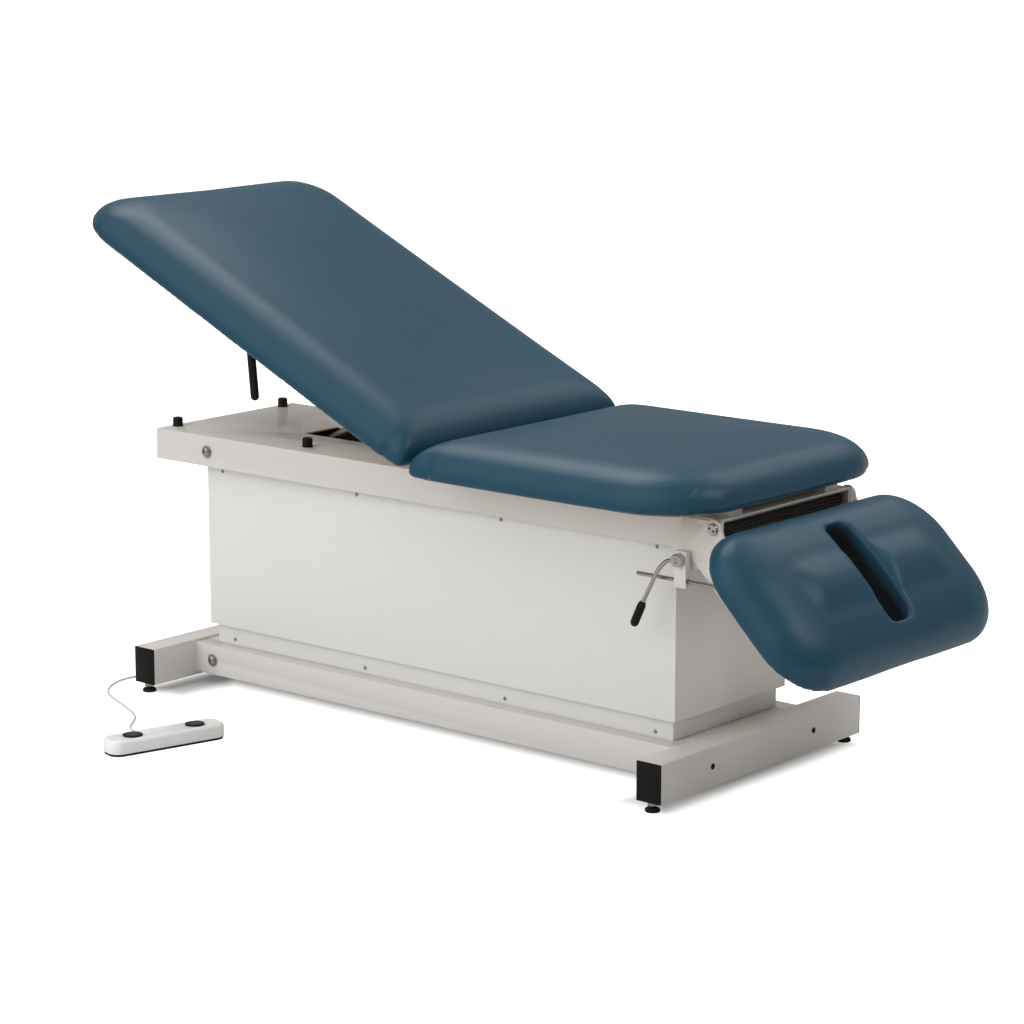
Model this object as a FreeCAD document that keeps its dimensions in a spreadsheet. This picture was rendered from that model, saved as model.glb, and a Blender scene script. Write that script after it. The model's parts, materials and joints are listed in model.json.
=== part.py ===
import FreeCAD, Part
import math
import os
import re

import Sketcher

# Chiropractic table with a scissor lift, a raising back section and a folding drop section.
# Millimetres. The origin lies on the floor at the centre of the base, +X runs to the drop section,
# -Y is the side with the clamp lever and the foot control, +Z is up.

os.makedirs("parts", exist_ok=True)
doc = FreeCAD.newDocument("ChiropracticTable")
sheet = doc.addObject("Spreadsheet::Sheet", "Sizes")

SIZES = {
    "Clearances and general": {
        "overrun": 5,
        "slip": 0.3,
        "running_gap": 0.5,
    },
    "Scissor": {
        "arm_length": 1200,
        "arm_height": 40,
        "arm_thickness": 8,
        "outer_arm_inside": 272,
        "inner_arm_inside": 244,
        "pivot_inset": 25,
        "pivot_back": "=-(arm_length / 2 - pivot_inset)",
        "lower_pivot_height": 57,
        "scissor_rise": 437.5,
        "pivot_radius": 6,
        "pivot_head_radius": 13,
        "pivot_head_depth": 8,
        "roller_width": 24,
        "roller_stub_radius": 6,
        "roller_inset": 4,
        "crossbar_radius": 15,
        "outer_crossbar_at": 400,
        "inner_crossbar_at": 200,
    },
    "Base cross tubes": {
        "tube_overhang": 52,
        "tube_spacing": "=arm_length + 2 * tube_overhang",
        "tube_length": 627,
        "tube_width": 55,
        "tube_depth": 74.7,
        "tube_bottom": 18.6,
        "tube_wall": 2.5,
        "cap_thickness": 3,
        "cap_tongue": 4,
    },
    "Levelling feet": {
        "foot_spacing": 606,
        "foot_disc_radius": 14,
        "foot_disc_height": 9,
        "foot_stem_radius": 5,
        "foot_stem_length": 62,
        "foot_nut_height": 7.6,
        "foot_nut_radius": 9.8,
    },
    "Base rails and pan": {
        "rail_outside": 392,
        "rail_depth": 40,
        "rail_height": 61.9,
        "rail_bottom": 26.7,
        "rail_wall": 3,
        "pan_inset": 40,
        "pan_length": "=arm_length - 2 * pan_inset",
    },
    "Actuator": {
        "ram_pivot_along": 300,
        "ram_pivot_height": 62,
        "ram_pin_radius": 6,
        "barrel_radius": 20,
        "barrel_length": 370,
        "barrel_start": 40,
        "barrel_bore": 12.5,
        "ram_radius": 12,
        "eye_clearance": 5.2,
        "eye_wall": 5,
        "eye_width": 30,
        "motor_length": 110,
        "motor_radius": 24,
        "motor_start": 50,
        "actuator_lug_gap": 26,
        "actuator_lug_wall": 6,
    },
    "Shrouds": {
        "sheet_wall": 1.5,
        "lower_shroud_inset": 10,
        "lower_shroud_length": "=arm_length - 2 * lower_shroud_inset",
        "lower_shroud_width": 324,
        "lower_shroud_height": 343.4,
        "shroud_lap": 12,
        "upper_shroud_length": "=lower_shroud_length + 2 * shroud_lap",
        "upper_shroud_width": 347.4,
        "upper_shroud_height": 335.8,
        "screw_radius": 4,
        "screw_depth": 1.6,
        "lower_screw_height": 100,
        "upper_screw_drop": 12,
        "screw_inset": 48,
        "screw_first": "=-(lower_shroud_length / 2 - screw_inset)",
        "screw_end_inset": 40.9,
        "screw_count": 4,
        "screw_pitch": "=(lower_shroud_length - screw_inset - screw_end_inset) / (screw_count - 1)",
        "upper_screw_inset": 44,
        "upper_screw_first": "=-(upper_shroud_length / 2 - upper_screw_inset)",
        "upper_screw_pitch": "=(upper_shroud_length - 2 * upper_screw_inset) / (screw_count - 1)",
    },
    "Control box": {
        "box_inset": 20,
        "box_length": 160,
        "box_back": "=-(pan_length / 2 - box_inset)",
        "box_front": "=box_back + box_length",
        "box_near": -80,
        "box_far": 60,
        "box_height": 55.3,
        "box_wall": 2,
        "gland_radius": 7,
        "gland_length": 12,
        "gland_across": -46,
        "gland_height": 55,
        "inlet_width": 27,
        "inlet_height": 20,
        "inlet_depth": 18,
        "inlet_across": 25,
        "inlet_rim": 3,
    },
    "Foot control": {
        "control_along": -334,
        "control_across": -566,
        "control_angle": 75,
        "control_length": 250,
        "control_width": 62,
        "control_height": 31,
        "control_corner": 24,
        "control_round": 7,
        "control_base_height": 5,
        "control_base_inset": 1.5,
        "button_pitch": 135.6,
        "button_radius": 19,
        "button_rise": 4,
        "button_depth": 8,
        "button_dome_radius": 14,
        "button_travel": 2.5,
        "control_spout_at": -26,
        "control_spout_radius": 4.2,
        "control_spout_length": 8,
        "control_spout_height": 15,
        "cord_radius": 2.25,
    },
    "Top frame": {
        "frame_overhang": 122,
        "frame_length": "=arm_length + 2 * frame_overhang",
        "frame_width": 402,
        "frame_bottom": 464,
        "frame_height": 63,
        "frame_wall": 3,
        "frame_hole_inset": 3,
        "frame_hole_length": "=arm_length - 2 * frame_hole_inset",
        "frame_hole_width": 336,
        "prop_hole_back": -445.5,
        "prop_hole_front": -150,
        "prop_hole_width": 100,
        "channel_depth": 26,
        "channel_wall": 3,
        "insert_wall": 6,
        "insert_rib": 4,
        "insert_ribs": 7,
    },
    "Bumpers": {
        "bumper_base_radius": 11,
        "bumper_top_radius": 10,
        "bumper_height": 18.5,
        "bumper_inset": 16,
        "bumper_run": 370,
        "bumper_back": "=-(frame_length / 2 - bumper_inset)",
        "bumper_front": "=bumper_back + bumper_run",
        "bumper_spacing": 310,
    },
    "Seat": {
        "pad_width": 660,
        "seat_back": 86,
        "seat_length": 656,
        "seat_bottom": 539.3,
        "seat_back_corner": 10,
        "seat_front_corner": 150,
        "seat_rail_width": 40,
        "seat_rail_spacing": 300,
        "seat_rail_back": 100,
        "seat_rail_inset": 6,
        "seat_rail_front": "=frame_length / 2 - seat_rail_inset",
    },
    "Padding": {
        "board_thickness": 12,
        "board_inset": 20,
        "edge_round": 8,
        "side_height": 22,
        "shoulder_reach": 100,
        "shoulder_height": 50,
        "crown": 10,
        "inner_corner": 60,
    },
    "Back section": {
        "back_hinge_along": 77.8,
        "back_hinge_height": 557.5,
        "back_rest_angle": 24.9,
        "back_length": 962,
        "back_setback": 9.8,
        "back_drop": 11.7,
        "back_hinge_corner": 12,
        "back_head_corner": 90,
        "back_rail_width": 30,
        "back_rail_thickness": 6,
        "back_rail_inside": 190,
        "back_rail_length": 780,
        "hinge_ear_radius": 7.5,
        "hinge_ear_thickness": 5,
        "hinge_pin_radius": 4,
        "hinge_pin_length": 246,
        "hinge_ear_at": 109.5,
    },
    "Back prop": {
        "prop_pivot_along": 248.5,
        "prop_pivot_drop": 27.7,
        "prop_length": 336,
        "prop_track_height": 490.75,
        "prop_width": 10,
        "prop_depth": 16,
        "prop_pin_radius": 5,
        "prop_pin_length": 118,
        "track_wall": 3,
        "track_end": 12,
        "track_depth": 46,
        "track_back": -514,
        "track_front": -297,
        "track_clearance": 1.3,
        "track_spacing": 104,
        "prop_lug_gap": 12,
        "prop_lug_wall": 5,
        "prop_lug_radius": 8,
    },
    "Back release lever": {
        "release_along": 521,
        "release_drop": 21.9,
        "release_inset": 85,
        "release_across": "=-(pad_width / 2 - release_inset)",
        "release_length": 131.7,
        "release_tilt": 30.6,
        "release_radius": 8.5,
        "release_rod_radius": 4,
        "release_bracket_width": 34,
        "release_bracket_wall": 4,
        "release_hub_width": 24,
        "release_pin_radius": 3,
    },
    "Drop section": {
        "drop_hinge_inset": 10,
        "drop_hinge_along": "=frame_length / 2 - drop_hinge_inset",
        "drop_hinge_height": 511,
        "drop_rest_angle": 44.9,
        "drop_start": 34,
        "drop_lift": 4.4,
        "drop_length": 326,
        "drop_hinge_corner": 110,
        "drop_end_corner": 103,
        "drop_shoulder_reach": 108,
        "drop_shoulder_height": 56,
        "drop_crown": 12,
        "slot_start": 52,
        "slot_end": 267,
        "slot_width": 70,
        "slot_corner": 22,
        "slot_lip": 18,
        "slot_lip_height": 16,
        "slot_lip_start": 70,
        "plate_thickness": 5,
        "drop_arm_gap": 1,
        "drop_arm_length": 230,
        "drop_arm_depth": 75.5,
        "drop_arm_round": 17.5,
        "drop_arm_run": 151,
        "drop_arm_bevel": 12.25,
        "hinge_bolt_radius": 6,
        "hinge_cap_radius": 13,
        "hinge_cap_depth": 5.5,
    },
    "Drop hinge plates": {
        "hinge_plate_heel_back": 94,
        "hinge_plate_heel_drop": 41,
        "hinge_plate_toe_back": 84,
        "hinge_plate_drop": 80,
        "hinge_plate_chin_back": 22,
        "hinge_plate_front": 15,
        "hinge_plate_nose_drop": 31,
        "hinge_plate_rise": 13,
        "hinge_plate_top_back": 72,
    },
    "Drop clamp": {
        "clamp_back": 62,
        "clamp_along": "=drop_hinge_along - clamp_back",
        "clamp_height": 450,
        "clamp_bolt_radius": 4,
        "clamp_rod_drop": 40,
        "clamp_rod_pin_reach": 83,
        "clamp_rod_pin_along": "=drop_hinge_along + clamp_rod_pin_reach",
        "clamp_rod_radius": 4,
        "clamp_rod_length": 246,
        "clamp_rod_across": 220,
        "clamp_rod_clearance": 1,
        "clamp_rod_eye_radius": 9,
        "clamp_rod_eye_width": 12,
        "clamp_stud_radius": 3.5,
        "clamp_block_width": 26,
        "clamp_block_thickness": 14,
        "clamp_block_top": 15,
        "clamp_block_bottom": 52,
        "clamp_lever_radius": 4,
        "clamp_lever_span": 181,
        "clamp_hub_radius": 12,
        "clamp_hub_depth": 12,
        "clamp_grip_radius": 8,
        "clamp_grip_length": 52,
    },
}

# Corners of the hinge plate, seen from the near side: x and z.
HINGE_PLATE_OUTLINE = [
    ("drop_hinge_along - hinge_plate_heel_back", "drop_hinge_height - hinge_plate_heel_drop"),
    ("drop_hinge_along - hinge_plate_toe_back", "drop_hinge_height - hinge_plate_drop"),
    ("drop_hinge_along - hinge_plate_chin_back", "drop_hinge_height - hinge_plate_drop"),
    ("drop_hinge_along + hinge_plate_front", "drop_hinge_height - hinge_plate_nose_drop"),
    ("drop_hinge_along + hinge_plate_front", "drop_hinge_height + hinge_plate_rise"),
    ("drop_hinge_along - hinge_plate_top_back", "drop_hinge_height + hinge_plate_rise"),
]

# Cord of the foot control, from its spout along the floor and under the rear tube to the control box.
CORD_POINTS = [
    (-378.4, -581, 15), (-413.2, -571.7, 15), (-447, -550, 10), (-478, -519, 4.5), (-504, -483, 2.6),
    (-535, -455, 2.5), (-576, -434, 2.6), (-622, -413, 2.5), (-668, -394, 2.6), (-706, -371, 2.5), (-737, -334, 2.6),
    (-757, -288, 2.5), (-754, -241, 2.6), (-733, -203, 2.5), (-715, -161, 2.6), (-708, -118, 2.5),
    (-694, -82, 2.6), (-664, -59, 2.5), (-629, -49, 4), (-606, -46, 20), (-594, -46, 41),
    (-574, -46, 55), (-552, -46, 55),
]


def fill_sheet():
    """Write every size and its name to the sheet, and return the sizes by name."""
    values = {}
    row = 1
    for heading, sizes in SIZES.items():
        sheet.set(f"A{row}", heading)
        row += 1
        for name, value in sizes.items():
            sheet.set(f"A{row}", name)
            sheet.set(f"B{row}", str(value))
            sheet.setAlias(f"B{row}", name)
            values[name] = value
            row += 1
    doc.recompute()
    return values


SIZE = fill_sheet()
NODES = []


# Helpers that bind an object to the sheet

def linked(text):
    """Return an expression in which the name of each size points to its cell."""
    return re.sub(r"[a-z][a-z0-9_]*", lambda word: point_to_cell(word.group()), str(text))


def point_to_cell(word):
    """Return one word of an expression, with its sheet where it names a size."""
    return f"Sizes.{word}" if word in SIZE else word


def value_of(text):
    """Return the number that an expression in named sizes gives."""
    value = sheet.evalExpression(linked(text))
    return float(getattr(value, "Value", value))


def bind(piece, **links):
    """Bind properties of an object to expressions in named sizes."""
    for prop, text in links.items():
        piece.setExpression(prop, linked(text))
    return piece


def put(piece, x="0", y="0", z="0"):
    """Bind the place of an object to expressions in named sizes."""
    for axis, text in (("x", x), ("y", y), ("z", z)):
        piece.setExpression(f".Placement.Base.{axis}", linked(text))
    return piece


# Helpers that make plain solids

ALONG = {
    "x": FreeCAD.Rotation(FreeCAD.Vector(0, 1, 0), 90),
    "y": FreeCAD.Rotation(FreeCAD.Vector(1, 0, 0), -90),
    "z": FreeCAD.Rotation(),
}


def block(name, x, y, z):
    """Make a box between pairs of expressions."""
    piece = doc.addObject("Part::Box", name)
    bind(piece, Length=f"({x[1]}) - ({x[0]})", Width=f"({y[1]}) - ({y[0]})", Height=f"({z[1]}) - ({z[0]})")
    return put(piece, x[0], y[0], z[0])


def bar(name, axis, span, radius, first="0", second="0"):
    """Make a round bar along an axis; first and second are its places on the other two axes."""
    piece = doc.addObject("Part::Cylinder", name)
    bind(piece, Radius=radius, Height=f"({span[1]}) - ({span[0]})")
    piece.Placement = FreeCAD.Placement(FreeCAD.Vector(), ALONG[axis])
    places = {"x": (span[0], first, second), "y": (first, span[0], second), "z": (first, second, span[0])}
    return put(piece, *places[axis])


def ball(name, radius, x="0", y="0", z="0"):
    """Make a ball."""
    piece = doc.addObject("Part::Sphere", name)
    bind(piece, Radius=radius)
    return put(piece, x, y, z)


def fuse(name, *pieces):
    """Join solids into one."""
    joined = doc.addObject("Part::MultiFuse", name)
    joined.Shapes = list(pieces)
    joined.Refine = True
    return joined


def cut(name, base, *tools):
    """Cut one or more solids out of another."""
    result = doc.addObject("Part::Cut", name)
    result.Base = base
    result.Tool = tools[0] if len(tools) == 1 else group(f"{name}_tools", *tools)
    return result


def group(name, *pieces):
    """Hold separate solids in one object."""
    held = doc.addObject("Part::Compound", name)
    held.Links = list(pieces)
    return held


def mirrored(piece):
    """Return the same solid on the other side of the table."""
    copy = doc.addObject("Part::Mirroring", f"{piece.Name}_far")
    copy.Source = piece
    copy.Normal = FreeCAD.Vector(0, 1, 0)
    return copy


def pair(name, piece):
    """Hold a solid and its mirror image in one object."""
    return group(name, piece, mirrored(piece))


def softened(name, base, radius, chosen):
    """Round the edges of a solid that the chosen function picks."""
    doc.recompute()
    piece = doc.addObject("Part::Fillet", name)
    piece.Base = base
    size = value_of(radius)
    edges = enumerate(base.Shape.Edges, start=1)
    piece.Edges = [(number, size, size) for number, edge in edges if chosen(edge)]
    return piece


def is_upright(edge):
    """Tell whether an edge runs straight up."""
    return abs(edge.tangentAt(edge.FirstParameter).z) > 0.99 and edge.Curve.TypeId == "Part::GeomLine"


def is_on_top(edge):
    """Tell whether an edge lies flat above the middle of what it belongs to."""
    return edge.BoundBox.ZLength < value_of("slip") and edge.BoundBox.ZMin > value_of("control_round")


# Helpers that make solids from sketches

def sketch_on(body, role, loops):
    """Draw closed outlines, each a list of points bound to the sheet, on an origin plane of a body."""
    sketch = body.newObject("Sketcher::SketchObject", f"{body.Name}_outline")
    plane = [item for item in body.Origin.OriginFeatures if item.Role == role][0]
    sketch.AttachmentSupport = [(plane, "")]
    sketch.MapMode = "FlatFace"
    for outline in loops:
        draw_outline(sketch, outline)
    return sketch


def draw_outline(sketch, outline):
    """Add one closed outline of straight lines to a sketch, each corner bound to the sheet."""
    first = sketch.GeometryCount
    corners = [FreeCAD.Vector(value_of(across), value_of(up), 0) for across, up in outline]
    count = len(corners)
    for index, corner in enumerate(corners):
        sketch.addGeometry(Part.LineSegment(corner, corners[(index + 1) % count]))
    for index in range(count):
        following = first + (index + 1) % count
        sketch.addConstraint(Sketcher.Constraint("Coincident", first + index, 2, following, 1))
    for index, (across, up) in enumerate(outline):
        for kind, text in (("DistanceX", across), ("DistanceY", up)):
            rule = Sketcher.Constraint(kind, -1, 1, first + index, 1, value_of(text))
            number = sketch.addConstraint(rule)
            sketch.setExpression(f"Constraints[{number}]", linked(text))


def plate(name, outline, y):
    """Pad an outline of x and z between two places across the table."""
    body = doc.addObject("PartDesign::Body", name)
    sketch = sketch_on(body, "XZ_Plane", [outline])
    pad = body.newObject("PartDesign::Pad", f"{name}_pad")
    pad.Profile = sketch
    bind(pad, Length=f"({y[1]}) - ({y[0]})")
    return put(body, y=y[1])


def turned(name, outline):
    """Turn an outline of radius and height about the upright axis."""
    body = doc.addObject("PartDesign::Body", name)
    sketch = sketch_on(body, "XZ_Plane", [outline])
    turn = body.newObject("PartDesign::Revolution", f"{name}_turn")
    turn.Profile = sketch
    turn.ReferenceAxis = (sketch, ["V_Axis"])
    turn.Angle = 360
    return body


def rectangle(width, height, bottom="0"):
    """Return the corners of a rectangle that is centred across."""
    half = f"({width}) / 2"
    top = f"({bottom}) + ({height})"
    return [(f"-({half})", bottom), (half, bottom), (half, top), (f"-({half})", top)]


# Helpers that hand pieces over

def node(label, piece):
    """Give a finished sub-part its name."""
    piece.Label = label
    NODES.append(piece)
    return piece


def hung(label, along, height, angle, *pieces, across="0", axis=(0, 1, 0)):
    """Name a sub-part built about its own pivot, and hang it at its place and angle."""
    held = group(f"{label}_hung", *pieces)
    held.Placement = FreeCAD.Placement(FreeCAD.Vector(), FreeCAD.Rotation(FreeCAD.Vector(*axis), 1))
    bind(held, **{".Placement.Rotation.Angle": angle})
    put(held, along, across, height)
    return node(label, held)


def tube_along(name, points, radius):
    """Make a round rod or cord along straight runs that tangent arcs join, and print its radii."""
    corners = [FreeCAD.Vector(*point) for point in points]
    path = []
    bends = []
    start = corners[0]
    for before, corner, after in zip(corners, corners[1:], corners[2:]):
        arrive = corner - before
        leave = after - corner
        reach = BEND_SHARE * min(arrive.Length, leave.Length)
        half_turn = arrive.getAngle(leave) / 2
        bends.append(reach / math.tan(half_turn))
        arrive.normalize()
        leave.normalize()
        entry = corner - arrive * reach
        departure = corner + leave * reach
        inward = leave - arrive
        inward.normalize()
        centre = corner + inward * (bends[-1] / math.cos(half_turn))
        path.append(Part.LineSegment(start, entry).toShape())
        path.append(Part.Arc(entry, centre - inward * bends[-1], departure).toShape())
        start = departure
    path.append(Part.LineSegment(start, corners[-1]).toShape())
    route = Part.Wire(path)
    ring = Part.Wire(Part.makeCircle(radius, corners[0], corners[1] - corners[0]))
    piece = doc.addObject("Part::Feature", name)
    piece.Shape = route.makePipeShell([ring], True, False)
    share = piece.Shape.Volume / (math.pi * radius ** 2 * route.Length)
    print(name, "length", round(route.Length, 1), "volume share", round(share, 4),
          "radii", [round(bend, 1) for bend in bends])
    return piece


BEND_SHARE = 0.45


# Base

TUBE_TOP = "(tube_bottom + tube_depth)"
RAIL_TOP = "(rail_bottom + rail_height)"
RAIL_INSIDE = "(rail_outside / 2 - rail_depth)"
RAIL_LENGTH = "(tube_spacing - tube_width)"
PAN_TOP = "(rail_bottom + rail_wall)"


def make_cross_tubes():
    """Make the two hollow cross tubes with the holes for the levelling feet."""
    tubes = []
    for side, sign in (("head", "-"), ("foot", "")):
        body = doc.addObject("PartDesign::Body", f"tube_{side}")
        outer = rectangle("tube_width", "tube_depth")
        inner = rectangle("tube_width - 2 * tube_wall", "tube_depth - 2 * tube_wall", "tube_wall")
        pad = body.newObject("PartDesign::Pad", f"tube_{side}_pad")
        pad.Profile = sketch_on(body, "XZ_Plane", [outer, inner])
        pad.Midplane = True
        bind(pad, Length="tube_length")
        put(body, f"{sign}tube_spacing / 2", "0", "tube_bottom")
        holes = []
        for across in ("-foot_spacing / 2", "foot_spacing / 2"):
            span = ("tube_bottom - overrun", "tube_bottom + tube_wall + overrun")
            name = f"tube_{side}_hole_{len(holes)}"
            holes.append(bar(name, "z", span, "foot_stem_radius + slip", f"{sign}tube_spacing / 2", across))
        tubes.append(cut(f"tube_{side}_drilled", body, *holes))
    node("base_cross_tubes", group("cross_tubes", *tubes))


def make_end_caps():
    """Make the four caps that close the cross tubes."""
    caps = []
    half = "(tube_width / 2)"
    inner = "(tube_width / 2 - tube_wall)"
    for side, centre in (("head", "-tube_spacing / 2"), ("foot", "tube_spacing / 2")):
        face = block(f"cap_face_{side}", (f"{centre} - {half}", f"{centre} + {half}"),
                     ("-tube_length / 2 - cap_thickness", "-tube_length / 2"), ("tube_bottom", TUBE_TOP))
        tongue = block(f"cap_tongue_{side}", (f"{centre} - {inner}", f"{centre} + {inner}"),
                       ("-tube_length / 2", "-tube_length / 2 + cap_tongue"),
                       ("tube_bottom + tube_wall", f"{TUBE_TOP} - tube_wall"))
        caps.append(pair(f"caps_{side}", fuse(f"cap_{side}", face, tongue)))
    node("tube_end_caps", group("end_caps", *caps))


def make_levelling_feet():
    """Make the four screw feet and the nuts that lock them under the tubes."""
    nuts = []
    nut_bottom = "(tube_bottom - foot_nut_height)"
    for side, along in (("head", "-tube_spacing / 2"), ("foot", "tube_spacing / 2")):
        for hand, across in (("near", "-foot_spacing / 2"), ("far", "foot_spacing / 2")):
            outline = [("0", "0"), ("foot_disc_radius", "0"), ("foot_disc_radius", "foot_disc_height"),
                       ("foot_stem_radius", "foot_disc_height"), ("foot_stem_radius", "foot_stem_length"),
                       ("0", "foot_stem_length")]
            foot = put(turned(f"foot_{side}_{hand}", outline), along, across)
            node(f"levelling_foot_{side}_{hand}", foot)
            nut = doc.addObject("Part::Prism", f"nut_{side}_{hand}")
            nut.Polygon = 6
            bind(nut, Circumradius="foot_nut_radius", Height="foot_nut_height")
            put(nut, along, across, nut_bottom)
            bore = bar(f"nut_bore_{side}_{hand}", "z", (f"{nut_bottom} - overrun", "tube_bottom + overrun"),
                       "foot_stem_radius + slip", along, across)
            nuts.append(cut(f"nut_bored_{side}_{hand}", nut, bore))
    node("foot_lock_nuts", group("lock_nuts", *nuts))


def make_rails():
    """Make the two side channels, open inward, in which the lower rollers run."""
    along = (f"-{RAIL_LENGTH} / 2", f"{RAIL_LENGTH} / 2")
    outside = block("rail_outside_block", along, ("-rail_outside / 2", f"-{RAIL_INSIDE}"),
                    ("rail_bottom", RAIL_TOP))
    inside = block("rail_hollow", (f"-{RAIL_LENGTH} / 2 - overrun", f"{RAIL_LENGTH} / 2 + overrun"),
                   ("-rail_outside / 2 + rail_wall", f"-{RAIL_INSIDE} + overrun"),
                   (PAN_TOP, f"{RAIL_TOP} - rail_wall"))
    hole = bar("rail_pivot_hole", "y", ("-rail_outside / 2 - overrun", "-rail_outside / 2 + rail_wall + overrun"),
               "pivot_radius", "pivot_back", "lower_pivot_height")
    node("base_rails", pair("rails", cut("rail", outside, inside, hole)))


def make_floor_pan():
    """Make the pan between the side channels, and the ledges between the shroud and the cross tubes."""
    across = (f"-{RAIL_INSIDE}", RAIL_INSIDE)
    pieces = [block("pan", ("-pan_length / 2", "pan_length / 2"), across, ("rail_bottom", PAN_TOP))]
    inner = "(lower_shroud_length / 2 + slip)"
    outer = f"({RAIL_LENGTH} / 2)"
    for end, span in (("head", (f"-{outer}", f"-{inner}")), ("foot", (inner, outer))):
        pieces.append(block(f"{end}_ledge", span, across, (f"{RAIL_TOP} - rail_wall", RAIL_TOP)))
    node("floor_pan", group("pan_and_ledges", *pieces))


def make_pivot_bolts(label, inside, outside, height):
    """Make the two headed bolts on which one pair of scissor arms turns."""
    shank = bar(f"{label}_shank", "y", (f"-({outside})", f"-({inside})"), "pivot_radius", "pivot_back", height)
    head = bar(f"{label}_head", "y", (f"-({outside}) - pivot_head_depth", f"-({outside})"),
               "pivot_head_radius", "pivot_back", height)
    node(label, pair(f"{label}_pair", fuse(f"{label}_one", shank, head)))


def make_shroud(label, length, width, bottom, top):
    """Make a sleeve of sheet, open above and below."""
    across = f"({width}) / 2"
    along = f"({length}) / 2"
    outer = block(f"{label}_outer", (f"-{along}", along), (f"-{across}", across), (bottom, top))
    inner = block(f"{label}_inner", (f"-{along} + sheet_wall", f"{along} - sheet_wall"),
                  (f"-{across} + sheet_wall", f"{across} - sheet_wall"),
                  (f"{bottom} - overrun", f"{top} + overrun"))
    node(label, cut(f"{label}_sleeve", outer, inner))


def make_shroud_screws(label, first, pitch, width, height):
    """Make the two rows of screw heads on the long sides of a shroud."""
    heads = []
    for index in range(int(SIZE["screw_count"])):
        span = (f"-({width}) / 2 - screw_depth", f"-({width}) / 2")
        head = bar(f"{label}_{index}", "y", span, "screw_radius", f"{first} + {index} * {pitch}", height)
        heads.append(pair(f"{label}_pair_{index}", head))
    node(label, group(f"{label}_all", *heads))


def make_control_box():
    """Make the control box with its cord gland and its mains inlet."""
    inlet_half = "(inlet_width / 2)"
    inlet_low = "(lower_pivot_height - inlet_height / 2)"
    inlet_high = "(lower_pivot_height + inlet_height / 2)"
    across = (f"inlet_across - {inlet_half}", f"inlet_across + {inlet_half}")
    case = block("box_case", ("box_back", "box_front"), ("box_near", "box_far"),
                 (PAN_TOP, f"{PAN_TOP} + box_height"))
    recess = block("box_recess", ("box_back - overrun", "box_back + inlet_depth"), across,
                   (inlet_low, inlet_high))
    node("control_box", cut("box_with_recess", case, recess))
    gland = bar("gland_body", "x", ("box_back - gland_length", "box_back"), "gland_radius",
                "gland_across", "gland_height")
    node("cord_gland", gland)
    body = block("inlet_body", ("box_back", "box_back + inlet_depth"), across, (inlet_low, inlet_high))
    flange = block("inlet_flange", ("box_back - box_wall", "box_back"),
                   (f"inlet_across - {inlet_half} - inlet_rim", f"inlet_across + {inlet_half} + inlet_rim"),
                   (f"{inlet_low} - inlet_rim", f"{inlet_high} + inlet_rim"))
    hollow = block("inlet_hollow", ("box_back - box_wall - overrun", "box_back + inlet_depth - box_wall"),
                   (f"inlet_across - {inlet_half} + box_wall", f"inlet_across + {inlet_half} - box_wall"),
                   (f"{inlet_low} + box_wall", f"{inlet_high} - box_wall"))
    node("mains_inlet", cut("inlet", fuse("inlet_shell", body, flange), hollow))


# Foot control

CONTROL_TOP = "control_height"


def make_rounded_slab(name, length, width, low, high, corner):
    """Make a flat slab with round upright corners, centred on its own axes."""
    slab = block(f"{name}_slab", (f"-({length}) / 2", f"({length}) / 2"),
                 (f"-({width}) / 2", f"({width}) / 2"), (low, high))
    return softened(name, slab, corner, is_upright)


def make_foot_control():
    """Make the two-button foot control with its rubber base and its cord."""
    inset = "2 * control_base_inset"
    base = make_rounded_slab("control_foot", f"control_length - {inset}", f"control_width - {inset}",
                             "0", "control_base_height", "control_corner - control_base_inset")
    slab = make_rounded_slab("control_shell", "control_length", "control_width", "control_base_height",
                             CONTROL_TOP, "control_corner")
    shell = softened("control_shell_soft", slab, "control_round", is_on_top)
    floor = f"({CONTROL_TOP} - button_depth)"
    wells = []
    for sign in ("-", ""):
        wells.append(bar(f"button_well_{len(wells)}", "z", (floor, f"{CONTROL_TOP} + overrun"),
                         "button_radius + running_gap", f"{sign}button_pitch / 2"))
    spout = bar("control_spout", "y", ("control_width / 2 - control_round", "control_width / 2 + control_spout_length"),
                "control_spout_radius", "control_spout_at", "control_spout_height")
    shell = cut("control_shell_wells", fuse("control_shell_spout", shell, spout), *wells)
    place = ("control_along", "0", "control_angle")
    hung("foot_control_base", *place, base, across="control_across", axis=(0, 0, 1))
    hung("foot_control_housing", *place, shell, across="control_across", axis=(0, 0, 1))
    bottom = f"({floor} + button_travel + running_gap)"
    top = f"({CONTROL_TOP} + button_rise)"
    for label, sign in (("lower_button", "-"), ("raise_button", "")):
        outline = [("0", bottom), ("button_radius", bottom), ("button_radius", f"{top} - button_rise / 2"),
                   ("button_dome_radius", top), ("0", top)]
        button = put(turned(f"{label}_body", outline), f"{sign}button_pitch / 2")
        hung(label, *place, button, across="control_across", axis=(0, 0, 1))
    node("foot_control_cord", tube_along("control_cord", CORD_POINTS, SIZE["cord_radius"]))


# Scissor arms, drawn along +X from their own pivot

SCISSOR_ANGLE = "asin(scissor_rise / arm_length)"
UPPER_PIVOT = "(lower_pivot_height + scissor_rise)"
ROLLER_RADIUS = "(lower_pivot_height - rail_bottom - rail_wall - running_gap)"


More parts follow.
